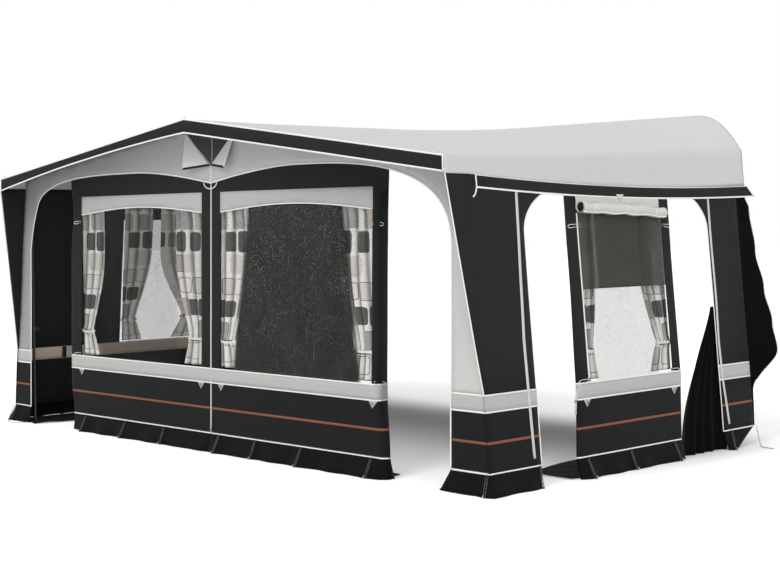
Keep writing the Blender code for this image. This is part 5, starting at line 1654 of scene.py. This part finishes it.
# Ties and strap: short cord loops with toggles beside the windows, for rolled curtains and blinds.
# A webbing strap with a buckle hangs at the free panel's front edge, at waist height.
CORD = 0.004
LOOP_HALF = 0.011
LOOP_DROP = 0.006
LOOP_SAG = 0.004
TOGGLE_LENGTH = 0.022
STRAP_WIDTH = 0.024
FRONT_TIES = ((1.725, 1.80, 1.693), (-1.737, -1.825, 1.73), (1.74, 1.835, 0.636), (-1.735, -1.83, 0.640))
SIDE_TIES = ((1.085, 0.955, 1.669), (2.031, 2.130, 1.665), (1.075, 0.957, 0.640), (1.991, 2.105, 0.640))
STRAP = (
    (0.925, 0.600, 0.004), (0.900, 0.56, 0.012), (0.878, 0.51, 0.016), (0.868, 0.46, 0.016),
    (0.866, 0.425, 0.015),
)


def loop_route(put, start, end, height):
    half_turn = [math.pi * (i / 10 - 0.5) for i in range(11)]
    ends = [(start, height + LOOP_HALF * 0.5)]
    for angle in half_turn:
        across = start + (end - start) * (0.8 + 0.2 * math.cos(angle))
        ends.append((across, height - LOOP_HALF * math.sin(angle) - LOOP_DROP))
    ends.append((start, height - LOOP_HALF * 0.7))
    sags = [Vector((0, 0, -LOOP_SAG * math.sin(math.pi * i / 12))) for i in range(len(ends))]
    return [put(x, z) + sag for (x, z), sag in zip(ends, sags)]


cord_white = [(loop_route(panel_place(0.005), *tie), facing(FRONT)) for tie in FRONT_TIES]
cord_white += [(loop_route(side_panel_place(0.005), *tie), facing(SIDE)) for tie in SIDE_TIES]
bound("tie_loops", cord_white, CORD, CORD)
toggles = []
for put, ties, wall in ((panel_place(0.007), FRONT_TIES, FRONT), (side_panel_place(0.007), SIDE_TIES, SIDE)):
    for start, end, height in ties:
        middle = start + (end - start) * 0.12
        heights = [height + TOGGLE_LENGTH * (i / 4 - 0.5) for i in range(5)]
        toggles.append(([put(middle, z) for z in heights], facing(wall)))
hang(tape("tie_toggles", toggles, moulded, 0.008, 0.007))
strap_points = [on_wall(SIDE, *point) for point in STRAP]
hang(tape("waist_strap", [(strap_points, facing(SIDE))], zip_strip, STRAP_WIDTH, 0.0022))
buckle_middle = strap_points[2]
buckle_ring = [
    buckle_middle + Vector((0, 0.011 * math.cos(a), 0.0085 * math.sin(a)))
    for a in [2 * math.pi * i / 16 for i in range(17)]
]
hang(tape("strap_buckle", [(buckle_ring, facing(SIDE))], moulded, 0.005, 0.005))


# Loose door cloth: the rear door panel hangs unzipped in deep folds from the opening's rear edge.
# The front door panel is folded down behind the side panel, and its corner lies on the ground.
DRAPE_TOP = 1.06
DRAPE_FOOT = 0.56
GROUND_CLEARANCE = 0.004
DRAPE_FOLDS = 4
FLAP = ((0.83, -0.38), (0.83, -0.03), (0.96, 0.0), (1.50, 0.0), (1.50, -0.50), (1.26, -0.48), (1.05, -0.44))
LEFT_FLAP = (
    (0.02, -0.02), (-0.03, -0.30), (-0.05, -0.40), (0.15, -0.47), (0.30, -0.50), (1.30, -0.50), (1.30, -0.02),
)
PANEL_FLAP = ((0.055, -0.08), (0.20, -0.07), (0.20, 0.01), (0.17, 0.025), (0.06, 0.02))
PANEL_FLAP_MIDDLE = 1.79
FLAP_LIFT = 0.003


def drape_place(across, along):
    down = 1 - along
    height = DRAPE_TOP + (GROUND_CLEARANCE + 0.002 - DRAPE_TOP) * down
    spread = 0.08 + 0.92 * math.sin(math.pi / 2 * down) ** 1.2
    distance = DOOR_REAR + PANEL_TUCK - DRAPE_FOOT * spread * across
    turn = DRAPE_FOLDS * across + noise.noise(Vector((across * 2.0, height * 1.5, 9.0))) * 0.3
    wave = (1 - math.cos(2 * math.pi * turn)) / 2
    fold = CURTAIN_FOLD_DEPTH * ease(across, 0.02, 0.12) * (1 + down) * (0.3 + 0.7 * wave**0.8)
    return on_wall(SIDE, distance, height, INNER_LAYER - fold), (across * 0.75, height)


drape = hang(sheet_grid("door_drape", 90, 60, drape_place, painted_shade_cloth), ["door_drape_right"])
for name, sense, foot, cut, size, step, skirt_name in (
    ("door_flap", 1, side_offset(0.0), FLAP, (0.67, 0.50), 0.03, "skirt_side_right"),
    ("left_door_flap", -1, side_offset(0.0), LEFT_FLAP, (1.35, 0.48), 0.03, "skirt_corner_left"),
    ("panel_skirt_tail", 1, PANEL_FLAP_MIDDLE, PANEL_FLAP, (0.145, 0.105), 0.02, "skirt_front_right"),
):
    def flap_place(across, along, sense=sense, foot=foot):
        """A point of a corner on the ground, for a way along the side and a step out from the foot."""
        ripple = (noise.noise(Vector((across * 6.0, along * 9.0, 12.0))) + 0.6) * 0.010
        return Vector((sense * (foot + along), across - POLE_SETBACK, FLAP_LIFT + max(ripple, 0)))

    flap = hang(cut_cloth(name, cut, painted_shade_cloth, flap_place, (), step))
    flat_area(cut)


# Mud skirts: coated black cloth from the hems to the ground, splayed outwards by rubber ladders.
# Each ladder is hooked over a bent steel peg driven flat along the ground.
SKIRT_SPLAY = 0.045
SKIRT_RIPPLE = 0.006
RIPPLE_LENGTH = 0.32
LADDER_STAND = 0.009
LADDER_WIDTH = 0.020
LADDER_RAIL = 0.0045
LADDER_RUNGS = 6
LADDER_LENGTH = 0.14
PEG_RADIUS = 0.003
PEG_SHAFT = 0.10
PEG_HOOK = 0.018
LADDER_INSET = 0.02
LOOSE_WIRES = (
    ((-2.785, -0.064, 0.134), (-2.705, -0.178, 0.008), (-2.62, -0.21, 0.005), (-2.51, -0.12, 0.005)),
    ((2.79, 2.972, 0.134), (2.90, 2.85, 0.012), (2.925, 2.835, 0.006), (3.03, 2.82, 0.005)),
)
SKIRT_CUT = HEM_HEIGHT * 1.06
HELD_REACH = 0.18

ladder_ends = []


def skirt(name, nodes_replaced, path, length, peg_runs, flares=(0.0, 0.0), flare_reach=0.12):
    """A skirt along a path that gives, for a run and a height, a point of the wall and the way out."""
    columns = max(6, math.ceil(length / 0.022))

    def place(across, along):
        run = length * across
        down = 1 - along
        height = HEM_HEIGHT - 0.0008 + (GROUND_CLEARANCE + 0.001 - HEM_HEIGHT) * down
        base, out = path(run, height)
        ripple = SKIRT_RIPPLE * math.sin(2 * math.pi * run / RIPPLE_LENGTH)
        slack = noise.noise(Vector((run * 7.0, height * 3.0, length * 5.0))) * 0.007
        held = max([math.exp(-((run - peg) / 0.05) ** 2) for peg in peg_runs], default=0)
        ends = ease(min(run, length - run), 0.0, 0.10)
        push = SKIRT_SPLAY * (0.75 + 0.25 * held + 0.25 * ends) * down**1.2 + (ripple + slack) * down
        ahead_point, _ = path(min(run + 0.001, length), height)
        behind_point, _ = path(max(run - 0.001, 0.0), height)
        forward = (ahead_point - behind_point).normalized()
        flare = flares[1] * max(run - length + flare_reach, 0) - flares[0] * max(flare_reach - run, 0)
        flare /= flare_reach
        return base + out * push + forward * flare * down, (run, height)

    piece = hang(sheet_grid(name, columns, 7, place, skirt_cloth), nodes_replaced)
    hem_points = [place(i / columns, 0.0)[0] + Vector((0, 0, 0.004)) for i in range(columns + 1)]
    _, middle_out = path(length / 2, 0.0)
    welt = hang(tape(f"{name}_welt", [(hem_points, middle_out)], skirt_cloth, 0.012, 0.006))
    tapered = min(1.0, 1 + flares[1] * 0.5 / length)
    length * SKIRT_CUT * tapered
    for run in peg_runs:
        top, out = path(run, HEM_HEIGHT - 0.002)
        out = out.normalized()
        foot = place(run / length, 0.0)[0] + out * LADDER_STAND
        ladder_ends.append((top + out * LADDER_STAND * 0.6, Vector((foot.x, foot.y, PEG_RADIUS * 2)), out))


def flat_out(wall):
    return Vector((wall[3].x, wall[3].y, 0)).normalized()


def front_path(start, sense, held_in=0.0):
    def path(run, height):
        along = start + sense * run
        edge = curl_start(along, height)
        angle = min(max(abs(along) - edge, 0) / CURL_RADIUS, CURL_LIMIT)
        out = Vector((math.copysign(math.sin(angle), along), -math.cos(angle), 0))
        out *= 1 - held_in * ease(abs(along), edge - HELD_REACH, edge)
        return panel_place(0.0)(along, height), out
    return path


def side_path(start, layer, panel=False):
    def path(run, height):
        along = start + run
        if panel:
            return side_panel_place(0.0)(along, height), flat_out(SIDE)
        return on_wall(SIDE, along, height, layer), flat_out(SIDE)
    return path


def corner_path(side):
    inner = LEG_INNER[side]
    leg = HALF_BASE - inner

    def path(run, height):
        turn = ease(run, leg * 0.9, leg * 1.1)
        out = Vector((min(1.0, 2 * turn), -min(1.0, 2 - 2 * turn), 0))
        if run <= leg:
            across = inner + (side_offset(height) - inner) * run / leg
            return on_wall(FRONT, across, height), out
        return on_wall(SIDE, run - leg, height), out
    return path


def mirrored_path(path):
    def other(run, height):
        base, out = path(run, height)
        return Vector((-base.x, base.y, base.z)), Vector((-out.x, out.y, out.z))
    return other


RIGHT_PEGS = [PANEL_HALF_SPAN * share for share in (0.053, 0.277, 0.543, 0.915)]
LEFT_PEGS = [PANEL_HALF_SPAN * share for share in (0.309, 0.585, 0.883)]
CORNER_PEGS = [-0.02, DOOR_FRONT - LADDER_INSET]
PANEL_START, PANEL_END = SIDE_PANEL_FRONT - SIDE_PANEL_FOOT_SHIFT, SIDE_PANEL_REAR - SIDE_PANEL_FOOT_SHIFT
SIDE_PEGS = [PANEL_START + (PANEL_END - PANEL_START) * share for share in (0.08, 0.48, 0.92)]
REAR_PEGS = [DOOR_REAR + 0.10]
LONG_OVERLAP = 0.015
LONG_PEGS = [DOOR_FRONT + (WALL_END - DOOR_FRONT) * share for share in (0.15, 0.5, 0.85)]
leg_run = {side: HALF_BASE - LEG_INNER[side] for side in (1, -1)}
right_runs, left_runs = ([leg_run[side] + d for d in CORNER_PEGS] for side in (1, -1))
right_corner, left_corner = corner_path(1), mirrored_path(corner_path(-1))
side_base = side_path(SIDE_PANEL_FRONT, INNER_LAYER, panel=True)
side_runs = [d - PANEL_START for d in SIDE_PEGS]
rear_base, rear_length = side_path(DOOR_REAR, 0.0), WALL_END - DOOR_REAR
rear_runs = [d - DOOR_REAR for d in REAR_PEGS]
long_base = mirrored_path(side_path(DOOR_FRONT - LONG_OVERLAP, INNER_LAYER))
long_length, long_runs = WALL_END - DOOR_FRONT + LONG_OVERLAP, [d - DOOR_FRONT for d in LONG_PEGS]
for place_name, *rest in (
    ("front_right", front_path(0.0005, 1), PANEL_HALF_SPAN, RIGHT_PEGS, (0.0, 0.01)),
    ("front_left", front_path(-0.0005, -1, 0.9), PANEL_HALF_SPAN, LEFT_PEGS, (0.0, 0.03)),
    ("corner_right", right_corner, leg_run[1] + DOOR_FRONT, right_runs, (0.06, -0.05)),
    ("corner_left", left_corner, leg_run[-1] + DOOR_FRONT, left_runs, (0.03, 0.0)),
    ("side_right", side_base, SIDE_PANEL_REAR - SIDE_PANEL_FRONT, side_runs),
    ("rear_right", rear_base, rear_length, rear_runs, (0.0, -0.30), 0.40),
    ("side_left", long_base, long_length, long_runs),
):
    skirt(f"skirt_{place_name}", [place_name.replace("_", "_skirt_")], *rest)


class Tree(Nodes):
    """A Geometry Nodes tree with named sizes: its nodes are added the way a finish's are."""

    def __init__(self, name, sizes):
        super().__init__(bpy.data.node_groups.new(name, "GeometryNodeTree"))
        sockets = self.tree.interface
        sockets.new_socket("Geometry", in_out="OUTPUT", socket_type="NodeSocketGeometry")
        sockets.new_socket("Geometry", in_out="INPUT", socket_type="NodeSocketGeometry")
        for title, value in sizes.items():
            kind = "NodeSocketInt" if isinstance(value, int) else "NodeSocketFloat"
            sockets.new_socket(title, in_out="INPUT", socket_type=kind).default_value = value
        entry = self.tree.nodes.new("NodeGroupInput")
        self.source = Wire(self.tree, entry.outputs["Geometry"])
        self.sizes = {title: Wire(self.tree, entry.outputs[title]) for title in sizes}

    def vector(self, x=0.0, y=0.0, z=0.0):
        return self.node("ShaderNodeCombineXYZ", values={"X": x, "Y": y, "Z": z})

    def named(self, title):
        return self.node("GeometryNodeInputNamedAttribute", {"data_type": "FLOAT_VECTOR"}, {"Name": title})

    def joined(self, *parts):
        made = self.tree.nodes.new("GeometryNodeJoinGeometry")
        for part in reversed(parts):
            self.tree.links.new(part.socket, made.inputs[0])
        return Wire(self.tree, made.outputs[0])

    def finish(self, geometry, finish):
        solid = self.node("GeometryNodeRealizeInstances", values={"Geometry": geometry})
        smooth = self.node("GeometryNodeSetShadeSmooth", values={"Geometry": solid, "Shade Smooth": True})
        painted = self.node("GeometryNodeSetMaterial", values={
            "Geometry": smooth, "Material": finish.material,
        })
        feed(self.tree, self.tree.nodes.new("NodeGroupOutput").inputs[0], painted)

    def grown(self, name, points, edges, attributes, values=None):
        """Runs the tree on points or lines that carry named directions, and keeps the plain mesh."""
        base = bpy.data.meshes.new(name)
        base.from_pydata(points, edges, [])
        for title, vectors in attributes.items():
            layer = base.attributes.new(title, "FLOAT_VECTOR", "POINT")
            layer.data.foreach_set("vector", [number for vector in vectors for number in vector])
        holder = link(name, base)
        modifier = holder.modifiers.new("rule", "NODES")
        modifier.node_group = self.tree
        for item in self.tree.interface.items_tree:
            if values and item.in_out == "INPUT" and item.name in values:
                modifier[item.identifier] = values[item.name]
        bpy.context.view_layer.update()
        evaluated = holder.evaluated_get(bpy.context.evaluated_depsgraph_get())
        grown = bpy.data.meshes.new_from_object(evaluated)
        bpy.data.objects.remove(holder, do_unlink=True)
        grown.name = name
        return link(name, grown)


ladder_tree = Tree("rubber_ladders", {
    "Rungs": LADDER_RUNGS, "Width": LADDER_WIDTH, "Rail": LADDER_RAIL, "Length": LADDER_LENGTH,
})
ladder_length = ladder_tree.sizes["Length"]
rail_radius = ladder_tree.sizes["Rail"] * 0.5
rail_bar = ladder_tree.node("GeometryNodeMeshCylinder", values={
    "Vertices": 8, "Radius": rail_radius, "Depth": ladder_length,
})
half_width = (ladder_tree.sizes["Width"] - ladder_tree.sizes["Rail"]) * 0.5
rails = [
    ladder_tree.node("GeometryNodeTransform", values={
        "Geometry": rail_bar, "Translation": ladder_tree.vector(offset, 0.0, ladder_length * 0.5),
    })
    for offset in (half_width, half_width * -1.0)
]
rung_bar = ladder_tree.node("GeometryNodeMeshCylinder", values={
    "Vertices": 8, "Radius": rail_radius * 0.9, "Depth": half_width * 2.0,
})
rung = ladder_tree.node("GeometryNodeTransform", values={
    "Geometry": rung_bar, "Rotation": (0.0, math.pi / 2, 0.0),
})
rung_line = ladder_tree.node("GeometryNodeMeshLine", {"mode": "END_POINTS"}, {
    "Count": ladder_tree.sizes["Rungs"], "Start Location": ladder_tree.vector(0.0, 0.0, rail_radius),
    "Offset": ladder_tree.vector(0.0, 0.0, ladder_length - rail_radius),
})
rungs = ladder_tree.node("GeometryNodeInstanceOnPoints", values={"Points": rung_line, "Instance": rung})
ladder_item = ladder_tree.joined(*rails, rungs)
turned_item = ladder_tree.node("FunctionNodeEulerToRotation", values={"Euler": ladder_tree.named("turn")})
placed = ladder_tree.node("GeometryNodeInstanceOnPoints", values={
    "Points": ladder_tree.source, "Instance": ladder_item, "Rotation": turned_item,
    "Scale": ladder_tree.named("stretch"),
})
rubber = Finish("black_rubber", 0.6)
rubber.colour(rubber.mix(rubber.noise(30), (0.045, 0.045, 0.045, 1), (0.09, 0.09, 0.088, 1)))
rubber.bump(rubber.noise(600), 0.2, 0.0003)
ladder_tree.finish(placed, rubber)

ladder_feet, ladder_turns, ladder_stretch, peg_routes = [], [], [], []
for top, foot, out in ladder_ends:
    up = (top - foot).normalized()
    sideways = up.cross(out).normalized()
    ladder_feet.append(foot)
    ladder_turns.append(Matrix((sideways, sideways.cross(up) * -1, up)).transposed().to_euler())
    ladder_stretch.append((1.0, 1.0, (top - foot).length / LADDER_LENGTH))
    low = Vector((foot.x, foot.y, PEG_RADIUS + 0.001)) + out * 0.004
    turn_points = [
        low + out * PEG_HOOK * math.sin(a) * 0.5 + Vector((0, 0, PEG_HOOK * 0.5 * (1 - math.cos(a))))
        for a in [math.pi * i / 6 for i in range(7)]
    ]
    shaft = [low - out * PEG_SHAFT * i / 5 for i in range(6)]
    peg_routes.append((list(reversed(shaft)) + turn_points[1:], sideways))
ladders = ladder_tree.grown("peg_ladders", ladder_feet, [], {"turn": ladder_turns, "stretch": ladder_stretch})
hang(ladders)
for corner in LOOSE_WIRES:
    peg_routes.append((refined(corner, 0.02, closed=False), Vector((0.5, 0.5, 0.7))))
hang(tape("ground_pegs", peg_routes, steel, PEG_RADIUS * 2, PEG_RADIUS * 2))


# Zip and stitching: a coil zip shuts the two front panels, with a piped loop at its head.
# Lockstitches hold down the edges of every band and pelmet.
ZIP_PITCH = 0.0034
TOOTH = (0.0019, 0.0062, 0.0020)
STITCH_PITCH = 0.0075
STITCH = (0.0048, 0.0009, 0.0007)
STITCH_INSET = 0.009
ROW_INSET = 0.01
HEAD_LOOP_HALF = 0.078
HEAD_LOOP_DROP = 0.047
HEAD_LOOP_OUT = LAYER * 2 + 0.003
CENTRE_STRIP = 0.015

row_tree = Tree("row_along_a_seam", {
    "Pitch": STITCH_PITCH, "Length": STITCH[0], "Width": STITCH[1], "Height": STITCH[2],
})
seam_line = row_tree.node("GeometryNodeMeshToCurve", values={"Mesh": row_tree.source})
even_line = row_tree.node("GeometryNodeResampleCurve", {"mode": "LENGTH"}, {
    "Curve": seam_line, "Length": row_tree.sizes["Pitch"],
})
along_line = row_tree.node("GeometryNodeInputTangent")
first_turn = row_tree.node("FunctionNodeAlignRotationToVector", {"axis": "X"}, {"Vector": along_line})
full_turn = row_tree.node("FunctionNodeAlignRotationToVector", {"axis": "Z", "pivot_axis": "X"}, {
    "Rotation": first_turn, "Vector": row_tree.named("outward"),
})
stitch_block = row_tree.node("GeometryNodeMeshCube", values={
    "Size": row_tree.vector(row_tree.sizes["Length"], row_tree.sizes["Width"], row_tree.sizes["Height"]),
})
row_items = row_tree.node("GeometryNodeInstanceOnPoints", values={
    "Points": even_line, "Instance": stitch_block, "Rotation": full_turn,
})
thread_finish = Finish("sewing_thread", 0.6)
thread_finish.colour(thread_finish.mix(thread_finish.noise(40), (0.5, 0.5, 0.49, 1), (0.36, 0.36, 0.355, 1)))
thread_finish.bump(thread_finish.noise(1500), 0.3, 0.0003)
row_tree.finish(row_items, thread_finish)


def rows(name, routes, values=None):
    points, edges, outward = [], [], []
    for route, out in routes:
        first = len(points)
        points += route
        outward += [out] * len(route)
        edges += [(first + i, first + i + 1) for i in range(len(route) - 1)]
    return row_tree.grown(name, points, edges, {"outward": outward}, values)


top_layer, bare_layer = LAYER + CLOTH * 0.5, CLOTH * 0.6
front_rows = []
for side in (1, -1):
    for height in (BAND_BOTTOM + STITCH_INSET, BAND_TOP - STITCH_INSET, HEM_HEIGHT + STITCH_INSET):
        layer = top_layer if height > BAND_BOTTOM else bare_layer
        leg_ends = (LEG_INNER[side] + ROW_INSET, wall_corner(height) - ROW_INSET)
        panel_ends = (ROW_INSET, PANEL_HALF_SPAN - ROW_INSET)
        front_rows.append(panel_route([(side * x, height) for x in panel_ends], layer))
        front_rows.append(wall_route(FRONT, [(side * x, height) for x in leg_ends], layer))
    pelmet_ends = (WINDOW_INNER + PELMET_LAP, WINDOW_OUTER - PELMET_LAP)
    front_rows.append(panel_route([(side * x, PELMET_TOP - STITCH_INSET) for x in pelmet_ends], top_layer))
    front_rows.append(panel_route([(side * x, z + STITCH_INSET) for x, z in window_crest], top_layer))
inner_arch = [(x, z + STITCH_INSET) for x, z in whole_arch if z > ARCH_SPRING + 0.3]
front_rows.append(wall_route(FRONT, inner_arch, bare_layer))
side_rows = []
waist_rows = (BAND_BOTTOM + STITCH_INSET, BAND_TOP - STITCH_INSET)
for start, end in WALL_RUNS:
    for height in waist_rows:
        ends = [(start + ROW_INSET, height), (end - ROW_INSET, height)]
        side_rows.append(wall_route(SIDE, ends, top_layer))
for height in waist_rows:
    ends = [(SIDE_PANEL_FRONT + ROW_INSET, height), (SIDE_PANEL_REAR - ROW_INSET, height)]
    side_rows.append(cloth_route(side_panel_place(top_layer), ends, SIDE, MESH_STEP))
hang(rows("front_stitching", front_rows))
hang(rows("side_stitching", side_rows))
zip_line = wall_route(FRONT, [(0, HEM_HEIGHT + 0.004), (0, ARCH_CENTRE - 0.01)], INNER_LAYER + CLOTH * 0.5)
hang(tape("front_zip_tape", [zip_line], zip_strip, CENTRE_STRIP, 0.0022))
zip_points, zip_out = zip_line
teeth_line = ([point + zip_out * LAYER for point in zip_points], zip_out)
teeth = rows("front_zip_teeth", [teeth_line], {
    "Pitch": ZIP_PITCH, "Length": TOOTH[0], "Width": TOOTH[1], "Height": TOOTH[2],
})
teeth.data.materials.clear()
teeth.data.materials.append(white_tape.material)
hang(teeth)
head_loop = [
    (HEAD_LOOP_HALF * math.cos(a), ARCH_CENTRE + 0.004 + HEAD_LOOP_DROP * -math.sin(a))
    for a in [math.pi * i / 20 for i in range(21)]
]
bound("zip_head_loop", [wall_route(FRONT, head_loop, HEAD_LOOP_OUT)], 0.008)
for place in nodes["front_zip_slider"].material_slots:
    place.material = steel.material


# Eyelets: small pressed rings in the three-cornered tabs of the waist bands.
# Each is a round wire bent into a ring, laid flat on its tab.
EYELET_RADIUS = 0.0075
EYELET_WIRE = 0.0022
eyelet_tree = Tree("pressed_eyelets", {"Radius": EYELET_RADIUS, "Wire": EYELET_WIRE})
ring = eyelet_tree.node("GeometryNodeCurvePrimitiveCircle", {"mode": "RADIUS"}, {
    "Resolution": 20, "Radius": eyelet_tree.sizes["Radius"],
})
wire = eyelet_tree.node("GeometryNodeCurvePrimitiveCircle", {"mode": "RADIUS"}, {
    "Resolution": 8, "Radius": eyelet_tree.sizes["Wire"],
})
pressed = eyelet_tree.node("GeometryNodeCurveToMesh", values={"Curve": ring, "Profile Curve": wire})
eyelet_turn = eyelet_tree.node("FunctionNodeAlignRotationToVector", {"axis": "Z"}, {
    "Vector": eyelet_tree.named("outward"),
})
eyelets = eyelet_tree.node("GeometryNodeInstanceOnPoints", values={
    "Points": eyelet_tree.source, "Instance": pressed, "Rotation": eyelet_turn,
})
eyelet_metal = Finish("eyelet_metal", 0.4, 1.0)
eyelet_metal.colour(eyelet_metal.mix(eyelet_metal.noise(60), (0.16, 0.16, 0.16, 1), (0.28, 0.28, 0.28, 1)))
eyelet_tree.finish(eyelets, eyelet_metal)
eyelet_height = BAND_BOTTOM - TAB_DROP * 0.42
ring_places, ring_ways = [], []
for side in (1, -1):
    for along in TAB_PLACES:
        ring_places.append(panel_place(LAYER + CLOTH)(side * along, eyelet_height))
        ring_ways.append(facing(FRONT))
for along in SIDE_TAB_PLACES:
    ring_places.append(side_panel_place(LAYER + CLOTH)(along, eyelet_height))
    ring_ways.append(facing(SIDE))
hang(eyelet_tree.grown("tab_eyelets", ring_places, [], {"outward": ring_ways}))


low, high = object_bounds()
{"cad": [list(cad_low), list(cad_high)], "visual": [list(low), list(high)]}
